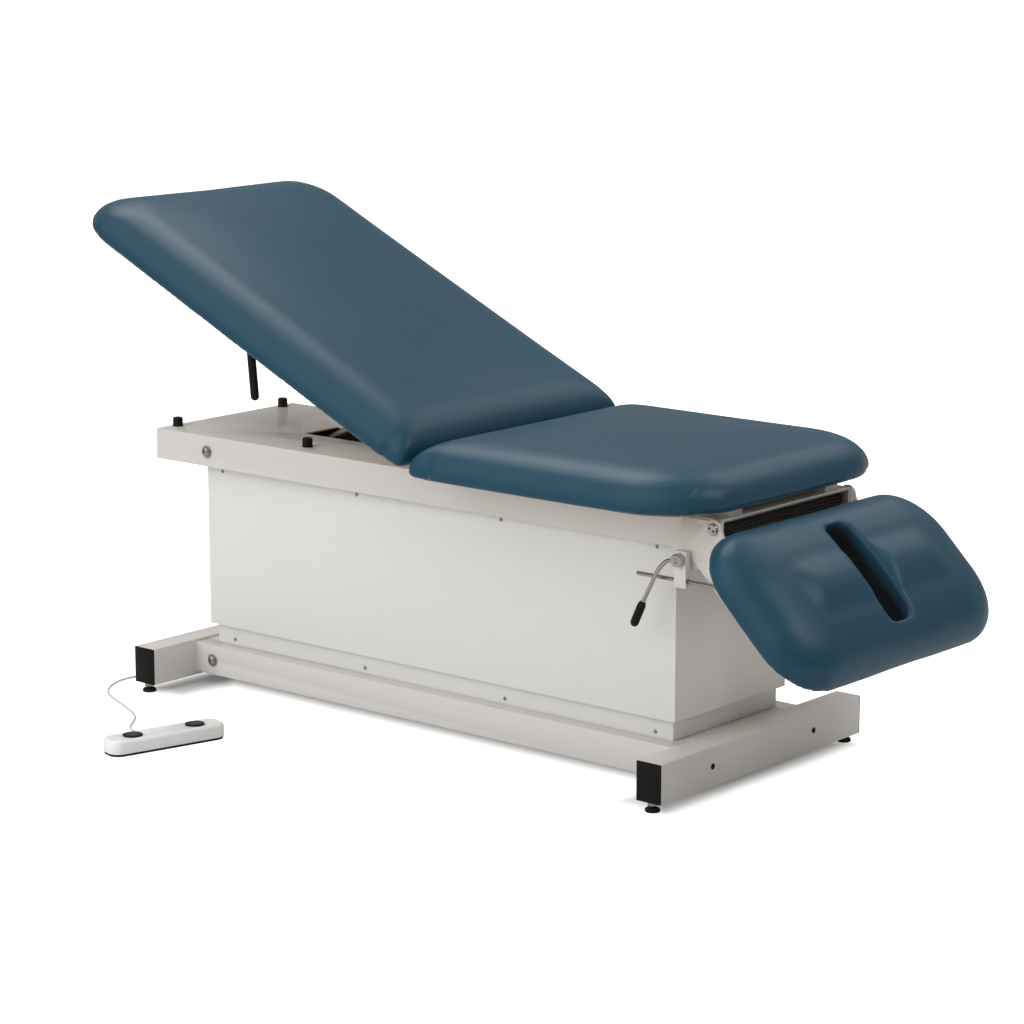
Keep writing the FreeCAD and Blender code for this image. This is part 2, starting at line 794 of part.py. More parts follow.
def make_arm(name, inside, middle_bore):
    """Make one flat arm with round ends and its three bores, on the near side."""
    outer_face = f"-({inside}) / 2 - arm_thickness"
    y = (outer_face, f"-({inside}) / 2")
    over = (f"{outer_face} - overrun", f"-({inside}) / 2 + overrun")
    strip = block(f"{name}_strip", ("0", "arm_length"), y, ("-arm_height / 2", "arm_height / 2"))
    ends = [bar(f"{name}_end_{at[0]}", "y", y, "arm_height / 2", at[1]) for at in enumerate(("0", "arm_length"))]
    bores = [bar(f"{name}_bore_0", "y", over, "pivot_radius + slip", "0"),
             bar(f"{name}_bore_1", "y", over, middle_bore, "arm_length / 2"),
             bar(f"{name}_bore_2", "y", over, "roller_stub_radius + slip", "arm_length")]
    return cut(f"{name}_bored", fuse(name, strip, *ends), *bores)


def make_scissor():
    """Make both pairs of arms, their cross bars, the centre pins and the rollers."""
    angle = f"{SCISSOR_ANGLE}"
    lower = ("pivot_back", "lower_pivot_height", f"-{angle}")
    upper = ("pivot_back", UPPER_PIVOT, angle)
    outer = make_arm("outer_arm", "outer_arm_inside", "pivot_radius")
    inner = make_arm("inner_arm", "inner_arm_inside", "pivot_radius + slip")
    hung("outer_arms", *lower, outer, mirrored(outer))
    hung("inner_arms", *upper, inner, mirrored(inner))
    half = "(outer_arm_inside / 2)"
    hung("outer_crossbar", *lower,
         bar("outer_bar", "y", (f"-{half}", half), "crossbar_radius", "outer_crossbar_at"))
    half = "(inner_arm_inside / 2)"
    hung("inner_crossbar", *upper,
         bar("inner_bar", "y", (f"-{half}", half), "crossbar_radius", "inner_crossbar_at"))
    span = ("-outer_arm_inside / 2 - arm_thickness", "-inner_arm_inside / 2 + slip")
    pin = bar("center_pin", "y", span, "pivot_radius", "arm_length / 2")
    hung("center_pins", *lower, pin, mirrored(pin))
    roll = "sqrt(arm_length ^ 2 - scissor_rise ^ 2) + pivot_back"
    stations = (("upper_rollers", "frame_width / 2 - frame_wall - roller_inset", "outer_arm_inside", UPPER_PIVOT),
                ("lower_rollers", "rail_outside / 2 - rail_wall - roller_inset", "inner_arm_inside",
                 "lower_pivot_height"))
    for label, face, inside, height in stations:
        wheel = bar(f"{label}_wheel", "y", (f"-({face})", f"-({face}) + roller_width"), ROLLER_RADIUS, roll, height)
        stub = bar(f"{label}_stub", "y", (f"-({face}) + roller_width", f"-({inside}) / 2"),
                   "roller_stub_radius", roll, height)
        node(label, pair(f"{label}_pair", fuse(f"{label}_one", wheel, stub)))


# Actuator, drawn along -X from its lower pin

RAM_END_ALONG = f"(pivot_back + outer_crossbar_at * cos({SCISSOR_ANGLE}))"
RAM_END_HEIGHT = f"(lower_pivot_height + outer_crossbar_at * sin({SCISSOR_ANGLE}))"
RAM_RUN = f"(ram_pivot_along - {RAM_END_ALONG})"
RAM_RISE = f"({RAM_END_HEIGHT} - ram_pivot_height)"
RAM_REACH = f"sqrt({RAM_RUN} ^ 2 + {RAM_RISE} ^ 2)"
RAM_ANGLE = f"atan({RAM_RISE} / {RAM_RUN})"


def make_actuator():
    """Make the bracket, the barrel with its motor and the ram of the lift."""
    inside = "(actuator_lug_gap / 2)"
    outside = f"({inside} + actuator_lug_wall)"
    reach = "(ram_pin_radius * 3)"
    foot = ("ram_pivot_along - " + reach, "ram_pivot_along + " + reach)
    lug = block("ram_lug", foot, (f"-{outside}", f"-{inside}"), (PAN_TOP, f"ram_pivot_height + {reach}"))
    pin = bar("ram_pin", "y", (f"-{outside}", outside), "ram_pin_radius", "ram_pivot_along", "ram_pivot_height")
    node("actuator_base_bracket", fuse("ram_bracket", lug, mirrored(lug), pin))
    place = ("ram_pivot_along", "ram_pivot_height", RAM_ANGLE)
    width = f"({inside} - running_gap)"
    clevis = block("ram_clevis", ("-barrel_start", reach), (f"-{width}", width),
                   ("-ram_pin_radius * 2", "ram_pin_radius * 2"))
    end = "(-barrel_start - barrel_length)"
    barrel = bar("ram_barrel", "x", (end, "-barrel_start"), "barrel_radius")
    bore = bar("ram_bore", "x", (f"{end} - overrun", "-barrel_start - barrel_radius"), "barrel_bore")
    eye = bar("ram_pin_bore", "y", (f"-{width} - overrun", f"{width} + overrun"), "ram_pin_radius + slip")
    hung("actuator_barrel", *place, cut("ram_barrel_bored", fuse("ram_barrel_clevis", clevis, barrel), bore, eye))
    motor = bar("ram_motor", "x", ("-motor_start - motor_length", "-motor_start"), "motor_radius", "0",
                "barrel_radius + motor_radius + slip")
    hung("actuator_motor", *place, motor)
    ring_inside = "(crossbar_radius + eye_clearance)"
    ring_outside = f"({ring_inside} + eye_wall)"
    half = "(eye_width / 2)"
    rod = bar("ram_rod", "x", (f"-{RAM_REACH} + {ring_inside} + eye_wall / 2", "-barrel_start * 2"), "ram_radius")
    ring = bar("ram_ring", "y", (f"-{half}", half), ring_outside, f"-{RAM_REACH}")
    hole = bar("ram_ring_hole", "y", (f"-{half} - overrun", f"{half} + overrun"), ring_inside, f"-{RAM_REACH}")
    hung("actuator_ram", *place, cut("ram_eyed", fuse("ram_and_ring", rod, ring), hole))


# Top frame

FRAME_TOP = "(frame_bottom + frame_height)"
FRAME_SIDE = "(frame_width / 2)"
FRAME_END = "(frame_length / 2)"


def make_frame_tray():
    """Make the shallow tray of folded sheet that carries the sections."""
    outer = block("tray_outer", (f"-{FRAME_END}", FRAME_END), (f"-{FRAME_SIDE}", FRAME_SIDE),
                  ("frame_bottom", FRAME_TOP))
    inner = block("tray_inner", (f"-{FRAME_END} + frame_wall", f"{FRAME_END} + overrun"),
                  (f"-{FRAME_SIDE} + frame_wall", f"{FRAME_SIDE} - frame_wall"),
                  ("frame_bottom + frame_wall", f"{FRAME_TOP} - frame_wall"))
    below = block("tray_below", ("-frame_hole_length / 2", "frame_hole_length / 2"),
                  ("-frame_hole_width / 2", "frame_hole_width / 2"),
                  ("frame_bottom - overrun", "frame_bottom + frame_wall + overrun"))
    above = block("tray_above", ("prop_hole_back", "prop_hole_front"), ("-prop_hole_width / 2", "prop_hole_width / 2"),
                  (f"{FRAME_TOP} - frame_wall - overrun", f"{FRAME_TOP} + overrun"))
    bolts = bar("tray_bolt_holes", "y", (f"-{FRAME_SIDE} - overrun", f"{FRAME_SIDE} + overrun"), "pivot_radius",
                "pivot_back", UPPER_PIVOT)
    node("top_frame_tray", cut("tray", outer, inner, below, above, bolts))


def make_end_channel():
    """Make the channel that closes the tray under the drop section, and its ribbed insert."""
    back = f"({FRAME_END} - channel_depth)"
    inside = f"({FRAME_SIDE} - frame_wall)"
    low = "(frame_bottom + frame_wall)"
    high = f"({FRAME_TOP} - frame_wall)"
    outer = block("channel_outer", (back, FRAME_END), (f"-{inside}", inside), (low, high))
    inner = block("channel_inner", (f"{back} + channel_wall", f"{FRAME_END} + overrun"),
                  (f"-{inside} + channel_wall", f"{inside} - channel_wall"),
                  (f"{low} + channel_wall", f"{high} - channel_wall"))
    node("end_channel", cut("channel", outer, inner))
    floor = f"({back} + channel_wall)"
    room = f"({high} - {low} - 2 * channel_wall)"
    pitch = f"({room} / (2 * insert_ribs + 1))"
    across = (f"-{inside} + channel_wall", f"{inside} - channel_wall")
    base = block("insert_base", (floor, f"{floor} + insert_wall"), across,
                 (f"{low} + channel_wall", f"{high} - channel_wall"))
    ribs = []
    for index in range(int(SIZE["insert_ribs"])):
        bottom = f"({low} + channel_wall + {2 * index + 1} * {pitch})"
        ribs.append(block(f"insert_rib_{index}", (f"{floor} + insert_wall", f"{floor} + insert_wall + insert_rib"),
                          across, (bottom, f"{bottom} + {pitch}")))
    node("end_channel_insert", fuse("insert", base, *ribs))


def make_bumpers():
    """Make the four rubber bumpers that the back section lies on."""
    bumpers = []
    for along in ("bumper_back", "bumper_front"):
        for sign in ("-", ""):
            outline = [("0", "0"), ("bumper_base_radius", "0"), ("bumper_top_radius", "bumper_height"),
                       ("0", "bumper_height")]
            bumper = turned(f"bumper_{len(bumpers)}", outline)
            bumpers.append(put(bumper, along, f"{sign}bumper_spacing / 2", FRAME_TOP))
    node("bumpers", group("bumper_set", *bumpers))


def make_hinge_plates():
    """Make the plates and bolts on which the drop section turns, with the bolt of its clamp."""
    y = (f"-{FRAME_SIDE} - plate_thickness", f"-{FRAME_SIDE}")
    one = plate("hinge_plate", HINGE_PLATE_OUTLINE, y)
    hole = bar("hinge_plate_hole", "y", (f"{y[0]} - overrun", f"{y[1]} + overrun"), "hinge_bolt_radius",
               "drop_hinge_along", "drop_hinge_height")
    node("drop_hinge_plates", pair("hinge_plates", cut("hinge_plate_bored", one, hole)))
    cap_face = f"({ARM_OUTSIDE} + running_gap)"
    shank = bar("hinge_bolt_shank", "y", (f"-{cap_face}", f"-{FRAME_SIDE}"), "hinge_bolt_radius",
                "drop_hinge_along", "drop_hinge_height")
    cap = bar("hinge_bolt_cap", "y", (f"-{cap_face} - hinge_cap_depth", f"-{cap_face}"), "hinge_cap_radius",
              "drop_hinge_along", "drop_hinge_height")
    clamp = bar("clamp_bolt", "y", (f"-{HUB_OUTSIDE}", f"-{FRAME_SIDE} - plate_thickness"), "clamp_bolt_radius",
                "clamp_along", "clamp_height")
    node("drop_hinge_bolts", group("hinge_bolts", pair("hinge_bolt_pair", fuse("hinge_bolt", shank, cap)), clamp))


ARM_OUTSIDE = f"({FRAME_SIDE} + drop_arm_gap + 2 * plate_thickness)"
BLOCK_INSIDE = "(clamp_rod_across - clamp_block_thickness / 2)"
BLOCK_OUTSIDE = "(clamp_rod_across + clamp_block_thickness / 2)"
HUB_OUTSIDE = f"({BLOCK_OUTSIDE} + running_gap + clamp_hub_depth)"


# Padding

SECTION_STEPS = 6
CROWN_SHARES = (0.3, 0.6, 0.85)
CORNER_SHARE = 0.8


def rounded_rectangle(low, high, half_width, low_radius, high_radius, height):
    """Return a rectangle with round corners as a closed wire of four lines and four arcs."""
    corners = [(high - high_radius, high_radius - half_width, high_radius, -90),
               (high - high_radius, half_width - high_radius, high_radius, 0),
               (low + low_radius, half_width - low_radius, low_radius, 90),
               (low + low_radius, low_radius - half_width, low_radius, 180)]
    arcs = []
    for along, across, radius, first in corners:
        points = []
        for turn in (first, first + 45, first + 90):
            angle = math.radians(turn)
            points.append(FreeCAD.Vector(along + radius * math.cos(angle), across + radius * math.sin(angle), height))
        arcs.append(Part.Arc(*points))
    edges = []
    for arc, following in zip(arcs, arcs[1:] + arcs[:1]):
        edges.append(arc.toShape())
        edges.append(Part.LineSegment(arc.EndPoint, following.StartPoint).toShape())
    return Part.Wire(edges)


def cushion_sections(length, reach, rise, crown):
    """Return the inset and height of each section of a cushion, from its underside to its crown."""
    edge = SIZE["edge_round"]
    side = SIZE["side_height"]
    half = min(length, SIZE["pad_width"]) / 2
    quarter = math.pi / 2
    sections = []
    for step in range(4):
        angle = quarter * step / 3
        sections.append((edge * (1 - math.sin(angle)), edge * (1 - math.cos(angle))))
    for step in range(SECTION_STEPS + 1):
        angle = quarter * step / SECTION_STEPS
        sections.append((reach * (1 - math.cos(angle)), side + rise * math.sin(angle)))
    for share in CROWN_SHARES:
        inset = reach + (half - reach) * share
        sections.append((inset, side + rise + crown * (1 - (1 - share) ** 2)))
    return sections


def cushion_form(name, length, low_radius, high_radius, reach, rise, crown):
    """Loft a cushion with drawn-in sides and a crown; its low end lies at zero along."""
    half_width = SIZE["pad_width"] / 2
    wires = []
    for inset, height in cushion_sections(length, reach, rise, crown):
        room = CORNER_SHARE * min(length / 2, half_width) - CORNER_SHARE * inset
        blend = min(inset / reach, 1)
        radii = []
        for radius in (low_radius, high_radius):
            radii.append(min(radius + (SIZE["inner_corner"] - radius) * blend, room))
        wires.append(rounded_rectangle(inset, length - inset, half_width - inset, *radii, height))
    piece = doc.addObject("Part::Feature", name)
    piece.Shape = Part.makeLoft(wires, True, True)
    return piece


def board_form(name, length, low_radius, high_radius):
    """Make the board that a cushion is wrapped on; its outline follows the cushion's."""
    inset = SIZE["board_inset"]
    half_width = SIZE["pad_width"] / 2 - inset
    radii = [max(radius - inset, SIZE["edge_round"]) for radius in (low_radius, high_radius)]
    outline = rounded_rectangle(inset, length - inset, half_width, *radii, 0)
    piece = doc.addObject("Part::Feature", name)
    piece.Shape = Part.Face(outline).extrude(FreeCAD.Vector(0, 0, SIZE["board_thickness"]))
    return piece


def make_seat():
    """Make the fixed seat section and the two rails under it."""
    rail_side = "(seat_rail_spacing / 2 - seat_rail_width / 2)"
    rail = block("seat_rail", ("seat_rail_back", "seat_rail_front"),
                 (f"-{rail_side} - seat_rail_width", f"-{rail_side}"), (FRAME_TOP, "seat_bottom"))
    node("seat_rails", pair("seat_rail_pair", rail))
    corners = (SIZE["seat_back_corner"], SIZE["seat_front_corner"])
    board = board_form("seat_board_form", SIZE["seat_length"], *corners)
    form = cushion_form("seat_form", SIZE["seat_length"], *corners, SIZE["shoulder_reach"],
                        SIZE["shoulder_height"], SIZE["crown"])
    hung("seat_board", "seat_back", "seat_bottom", "0", board)
    hung("seat_cushion", "seat_back", "seat_bottom", "0", cut("seat_wrapped", form, board))


# Back section, drawn flat about its hinge

def make_back():
    """Make the back section with its rails, hinge, prop and release lever."""
    place = ("back_hinge_along", "back_hinge_height", "back_rest_angle")
    corners = (SIZE["back_head_corner"], SIZE["back_hinge_corner"])
    board = board_form("back_board_form", SIZE["back_length"], *corners)
    form = cushion_form("back_form", SIZE["back_length"], *corners, SIZE["shoulder_reach"],
                        SIZE["shoulder_height"], SIZE["crown"])
    start = ("-back_setback - back_length", "0", "-back_drop")
    hung("back_board", *place, put(group("back_board_set", board), *start))
    hung("back_cushion", *place, put(group("back_cushion_set", cut("back_wrapped", form, board)), *start))
    make_back_rails(place)
    make_back_prop(place)
    make_release_lever(place)


def make_back_rails(place):
    """Make the two rails under the back board with the ears of the hinge, and its fixed ears and pin."""
    low = "(-back_drop - back_rail_thickness)"
    ear_end = "hinge_ear_radius"
    ear_face = "(hinge_ear_at - running_gap)"
    y = (f"-{ear_face}", f"-{ear_face} + hinge_ear_thickness")
    flat = block("back_rail", ("-back_rail_length", "-back_setback + running_gap"),
                 ("-back_rail_inside / 2 - back_rail_width", "-back_rail_inside / 2"), (low, "-back_drop"))
    toe = block("back_ear_toe", ("-back_rail_width", ear_end), y, (low, "-back_drop"))
    stem = block("back_ear_stem", (f"-{ear_end}", ear_end), y, (low, "0"))
    eye = bar("back_ear_eye", "y", y, "hinge_ear_radius")
    over = (f"{y[0]} - overrun", f"{y[1]} + overrun")
    bore = bar("back_ear_bore", "y", over, "hinge_pin_radius + slip")
    rail = cut("back_rail_bored", fuse("back_rail_eared", flat, toe, stem, eye), bore)
    hung("back_rails", *place, rail, mirrored(rail))
    y = ("-hinge_ear_at - hinge_ear_thickness", "-hinge_ear_at")
    x = ("back_hinge_along - hinge_ear_radius", "back_hinge_along + hinge_ear_radius")
    stem = block("frame_ear_stem", x, y, (FRAME_TOP, "back_hinge_height"))
    eye = bar("frame_ear_eye", "y", y, "hinge_ear_radius", "back_hinge_along", "back_hinge_height")
    over = (f"{y[0]} - overrun", f"{y[1]} + overrun")
    bore = bar("frame_ear_bore", "y", over, "hinge_pin_radius", "back_hinge_along", "back_hinge_height")
    node("back_hinge_ears", pair("frame_ears", cut("frame_ear", fuse("frame_ear_joined", stem, eye), bore)))
    node("back_hinge_pin", bar("hinge_pin", "y", ("-hinge_pin_length / 2", "hinge_pin_length / 2"),
                               "hinge_pin_radius", "back_hinge_along", "back_hinge_height"))


PROP_TOP_ALONG = "(back_hinge_along - prop_pivot_along * cos(back_rest_angle) - prop_pivot_drop * sin(back_rest_angle))"
PROP_TOP_HEIGHT = "(back_hinge_height + prop_pivot_along * sin(back_rest_angle) - prop_pivot_drop * cos(back_rest_angle))"


def make_back_prop(place):
    """Make the prop under the back section, the bracket it hangs from and the track it slides in."""
    low = "(-back_drop - back_rail_thickness)"
    inner = "(prop_lug_gap / 2)"
    outer = f"({inner} + prop_lug_wall)"
    strap = block("prop_strap", ("-prop_pivot_along - back_rail_width / 2", "-prop_pivot_along + back_rail_width / 2"),
                  ("-back_rail_inside / 2", "back_rail_inside / 2"), (low, "-back_drop"))
    x = ("-prop_pivot_along - prop_lug_radius", "-prop_pivot_along + prop_lug_radius")
    lug = block("prop_lug", x, (f"-{outer}", f"-{inner}"), ("-prop_pivot_drop", low))
    end = bar("prop_lug_end", "y", (f"-{outer}", f"-{inner}"), "prop_lug_radius", "-prop_pivot_along",
              "-prop_pivot_drop")
    lug = fuse("prop_lug_joined", lug, end)
    pin = bar("prop_pin", "y", (f"-{outer}", outer), "prop_pin_radius", "-prop_pivot_along", "-prop_pivot_drop")
    hung("prop_bracket", *place, fuse("prop_bracket_joined", strap, lug, mirrored(lug), pin))
    half = "(prop_width / 2)"
    strip = block("prop_strip", ("-prop_length", "0"), (f"-{half}", half), ("-prop_depth / 2", "prop_depth / 2"))
    ends = [bar(f"prop_end_{index}", "y", (f"-{half}", half), "prop_depth / 2", at)
            for index, at in enumerate(("0", "-prop_length"))]
    foot = bar("prop_foot", "y", ("-prop_pin_length / 2", "prop_pin_length / 2"), "prop_pin_radius", "-prop_length")
    bore = bar("prop_bore", "y", (f"-{half} - overrun", f"{half} + overrun"), "prop_pin_radius + slip")
    angle = f"-asin(({PROP_TOP_HEIGHT} - prop_track_height) / prop_length)"
    hung("back_prop", PROP_TOP_ALONG, PROP_TOP_HEIGHT, angle, cut("prop", fuse("prop_joined", strip, *ends, foot), bore))
    y = ("-track_spacing / 2 - track_wall", "-track_spacing / 2")
    over = (f"{y[0]} - overrun", f"{y[1]} + overrun")
    slot_half = "(prop_pin_radius + track_clearance)"
    side = block("track_side", ("track_back - track_end", "track_front + track_end"), y,
                 (f"{FRAME_TOP} - frame_wall - track_depth", f"{FRAME_TOP} - frame_wall"))
    slot = block("track_slot", ("track_back", "track_front"), over,
                 (f"prop_track_height - {slot_half}", f"prop_track_height + {slot_half}"))
    node("prop_track", pair("track_pair", cut("track", side, slot)))


def make_release_lever(place):
    """Make the release lever under the near edge of the back section, and its bracket."""
    inner = "(release_hub_width / 2 + running_gap)"
    outer = f"({inner} + release_bracket_wall)"
    x = ("-release_along - release_radius", "-release_along + release_radius")
    bottom = "(-release_drop - release_radius)"
    lugs = []
    for sign, low, high in (("near", f"-{outer}", f"-{inner}"), ("far", inner, outer)):
        lugs.append(block(f"release_lug_{sign}", x, (f"release_across + {low}", f"release_across + {high}"),
                          (bottom, "-back_drop")))
    pin = bar("release_pin", "y", (f"release_across - {outer}", f"release_across + {outer}"),
              "release_pin_radius", "-release_along", "-release_drop")
    hung("release_bracket", *place, fuse("release_bracket_joined", *lugs, pin))
    half = "(release_hub_width / 2)"
    hub = bar("release_hub", "y", (f"-{half}", half), "release_radius")
    sleeve = bar("release_sleeve", "z", ("-release_length + release_radius", "0"), "release_radius")
    tip = ball("release_tip", "release_radius", z="-release_length + release_radius")
    bore = bar("release_bore", "y", (f"-{half} - overrun", f"{half} + overrun"), "release_pin_radius + slip")
    lever = cut("release_lever_bored", fuse("release_lever_joined", hub, sleeve, tip), bore)
    along = "(back_hinge_along - release_along * cos(back_rest_angle) - release_drop * sin(back_rest_angle))"
    height = "(back_hinge_height + release_along * sin(back_rest_angle) - release_drop * cos(back_rest_angle))"
    hung("release_lever", along, height, "back_rest_angle - release_tilt", lever, across="release_across")


# Drop section, drawn flat about its hinge

def slot_cutter(name):
    """Loft the cutter of the face slot: straight walls with a lip that opens outward at the top."""
    start = SIZE["slot_start"]
    end = SIZE["slot_end"]
    half = SIZE["slot_width"] / 2
    corner = SIZE["slot_corner"]
    over = SIZE["overrun"]
    stages = [(0, -over), (0, SIZE["slot_lip_start"])]
    for step in range(1, 4):
        angle = math.pi / 2 * step / 3
        stages.append((SIZE["slot_lip"] * (1 - math.cos(angle)),
                       SIZE["slot_lip_start"] + SIZE["slot_lip_height"] * math.sin(angle)))
    stages.append((SIZE["slot_lip"], SIZE["slot_lip_start"] + SIZE["slot_lip_height"] + SIZE["crown"]))
    wires = []
    for grow, height in stages:
        radius = corner + grow
        wires.append(rounded_rectangle(start - grow, end + grow, half + grow, radius, radius, height))
    piece = doc.addObject("Part::Feature", name)
    piece.Shape = Part.makeLoft(wires, True, True)
    return piece


def make_drop():
    """Make the drop section with its face slot and its two arms."""
    place = ("drop_hinge_along", "drop_hinge_height", "drop_rest_angle")
    corners = (SIZE["drop_hinge_corner"], SIZE["drop_end_corner"])
    slot = slot_cutter("drop_slot")
    board = cut("drop_board_slotted", board_form("drop_board_form", SIZE["drop_length"], *corners), slot)
    form = cushion_form("drop_form", SIZE["drop_length"], *corners, SIZE["drop_shoulder_reach"],
                        SIZE["drop_shoulder_height"], SIZE["drop_crown"])
    start = ("drop_start", "0", "drop_lift")
    hung("drop_board", *place, put(group("drop_board_set", board), *start))
    hung("drop_cushion", *place, put(group("drop_cushion_set", cut("drop_wrapped", form, board, slot)), *start))
    y = (f"-{ARM_OUTSIDE}", f"-{ARM_OUTSIDE} + plate_thickness")
    outline = [("-drop_arm_round", "0"), ("-drop_arm_round", "-drop_arm_depth"),
               ("drop_arm_run", "-drop_arm_depth"), ("drop_arm_length", "-drop_arm_round"),
               ("drop_arm_length", "drop_lift"), ("drop_start", "drop_lift"),
               ("drop_arm_bevel", "drop_arm_bevel")]
    flat = plate("drop_arm", outline, y)
    eye = bar("drop_arm_eye", "y", y, "drop_arm_round")
    over = (f"{y[0]} - overrun", f"{y[1]} + overrun")
    bore = bar("drop_arm_bore", "y", over, "hinge_bolt_radius + slip")
    arm = cut("drop_arm_bored", fuse("drop_arm_eyed", flat, eye), bore)
    run = "(clamp_rod_pin_along - drop_hinge_along)"
    fall = "(clamp_height - clamp_rod_drop - drop_hinge_height)"
    stud = bar("drop_arm_stud", "y", ("-clamp_rod_across - clamp_rod_eye_width / 2", f"-{ARM_OUTSIDE}"),
               "clamp_stud_radius", f"{run} * cos(drop_rest_angle) - {fall} * sin(drop_rest_angle)",
               f"{run} * sin(drop_rest_angle) + {fall} * cos(drop_rest_angle)")
    hung("drop_arms", *place, fuse("drop_arm_studded", arm, stud), mirrored(arm))


# Clamp of the drop section

LEVER_POINT_SHARES = [(0, 0), (-0.14, -0.02), (-0.245, -0.13), (-0.43, -0.49)]
GRIP_DIRECTION_SHARES = (-0.415, -0.91)


def make_clamp():
    """Make the rod, the block it slides through and the lever that locks it."""
    eye_half = "(clamp_rod_eye_width / 2)"
    y = (f"-{eye_half}", eye_half)
    over = (f"-{eye_half} - overrun", f"{eye_half} + overrun")
    rod = bar("clamp_rod_bar", "x", ("-clamp_rod_length", "0"), "clamp_rod_radius")
    eye = bar("clamp_rod_eye", "y", y, "clamp_rod_eye_radius")
    bore = bar("clamp_rod_bore", "y", over, "clamp_stud_radius + slip")
    hung("clamp_rod", "clamp_rod_pin_along", "clamp_height - clamp_rod_drop", "0",
         cut("clamp_rod_bored", fuse("clamp_rod_eyed", rod, eye), bore), across="-clamp_rod_across")
    half = "(clamp_block_width / 2)"
    body = block("clamp_body", (f"clamp_along - {half}", f"clamp_along + {half}"),
                 (f"-{BLOCK_OUTSIDE}", f"-{BLOCK_INSIDE}"),
                 ("clamp_height - clamp_block_bottom", "clamp_height + clamp_block_top"))
    pivot = bar("clamp_pivot", "y", (f"-{BLOCK_OUTSIDE} - overrun", f"-{BLOCK_INSIDE} + overrun"),
                "clamp_bolt_radius + slip", "clamp_along", "clamp_height")
    passage = bar("clamp_passage", "x", (f"clamp_along - {half} - overrun", f"clamp_along + {half} + overrun"),
                  "clamp_rod_radius + clamp_rod_clearance", "-clamp_rod_across", "clamp_height - clamp_rod_drop")
    node("clamp_block", cut("clamp_block_bored", body, pivot, passage))
    make_clamp_lever()


def make_clamp_lever():
    """Make the bent lever on its hub, and its grip."""
    hub_face = f"({BLOCK_OUTSIDE} + running_gap)"
    hub = bar("clamp_hub", "y", (f"-{HUB_OUTSIDE}", f"-{hub_face}"), "clamp_hub_radius",
              "clamp_along", "clamp_height")
    bore = bar("clamp_hub_bore", "y", (f"-{HUB_OUTSIDE} - overrun", f"-{hub_face} + overrun"),
               "clamp_bolt_radius + slip", "clamp_along", "clamp_height")
    middle = -value_of(f"({HUB_OUTSIDE} + {hub_face}) / 2")
    points = []
    for along, up in LEVER_POINT_SHARES:
        points.append((value_of(f"clamp_along + {along} * clamp_lever_span"), middle,
                       value_of(f"clamp_height + {up} * clamp_lever_span")))
    rod = tube_along("clamp_lever_rod", points, SIZE["clamp_lever_radius"])
    node("clamp_lever", cut("clamp_lever_bored", fuse("clamp_lever_joined", hub, rod), bore))
    end = FreeCAD.Vector(*points[-1])
    lean = FreeCAD.Vector(GRIP_DIRECTION_SHARES[0], 0, GRIP_DIRECTION_SHARES[1])
    grip = bar("clamp_grip_bar", "z", ("0", "clamp_grip_length - clamp_grip_radius"), "clamp_grip_radius")
    tip = ball("clamp_grip_tip", "clamp_grip_radius", z="clamp_grip_length - clamp_grip_radius")
    whole = fuse("clamp_grip", grip, tip)
    whole.Placement = FreeCAD.Placement(end, FreeCAD.Rotation(FreeCAD.Vector(0, 0, 1), lean))
    node("clamp_lever_grip", whole)


# The whole table

def check_and_write():
    """Stop at any failed object or shape, then write each sub-part."""
    doc.recompute()
    for item in doc.Objects:
        if {"Invalid", "Error"} & set(item.State):
            raise RuntimeError(f"{item.Label} failed")
    for piece in NODES:
        if piece.Shape.isNull() or not piece.Shape.isValid() or not piece.Shape.Solids:
            raise RuntimeError(f"{piece.Label} has no sound shape")
    for piece in NODES:
        piece.Shape.exportStep(f"parts/{piece.Label}.step")
    print(len(NODES), "sub-parts,", sum(len(piece.Shape.Solids) for piece in NODES), "solids")


def main():
    """Make every sub-part of the table."""
    make_cross_tubes()
    make_end_caps()
    make_levelling_feet()
    make_rails()
    make_floor_pan()
    make_pivot_bolts("lower_pivot_bolts", "outer_arm_inside / 2", "rail_outside / 2", "lower_pivot_height")
    make_shroud("lower_shroud", "lower_shroud_length", "lower_shroud_width", RAIL_TOP,
                f"({RAIL_TOP} + lower_shroud_height)")
    make_shroud_screws("lower_shroud_screws", "screw_first", "screw_pitch", "lower_shroud_width",
                       "lower_screw_height")
    make_control_box()
    make_foot_control()
    make_scissor()
    make_actuator()
    make_frame_tray()
    make_end_channel()
    make_shroud("upper_shroud", "upper_shroud_length", "upper_shroud_width",
                "(frame_bottom - upper_shroud_height)", "frame_bottom")
    make_shroud_screws("upper_shroud_screws", "upper_screw_first", "upper_screw_pitch", "upper_shroud_width",
                       "frame_bottom - upper_screw_drop")
    make_pivot_bolts("upper_pivot_bolts", "inner_arm_inside / 2", "frame_width / 2", UPPER_PIVOT)
    make_bumpers()
    make_hinge_plates()
    make_seat()
    make_back()
    make_drop()
    make_clamp()
    check_and_write()


main()
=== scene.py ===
"""Dresses the chiropractic table: padding, painted frame, fittings, foot control, studio and camera."""

from __future__ import annotations

import json
import logging
import math
from dataclasses import dataclass, field
from enum import Enum
from functools import cache
from typing import Sequence, Union

import bpy
from mathutils import Matrix, Vector

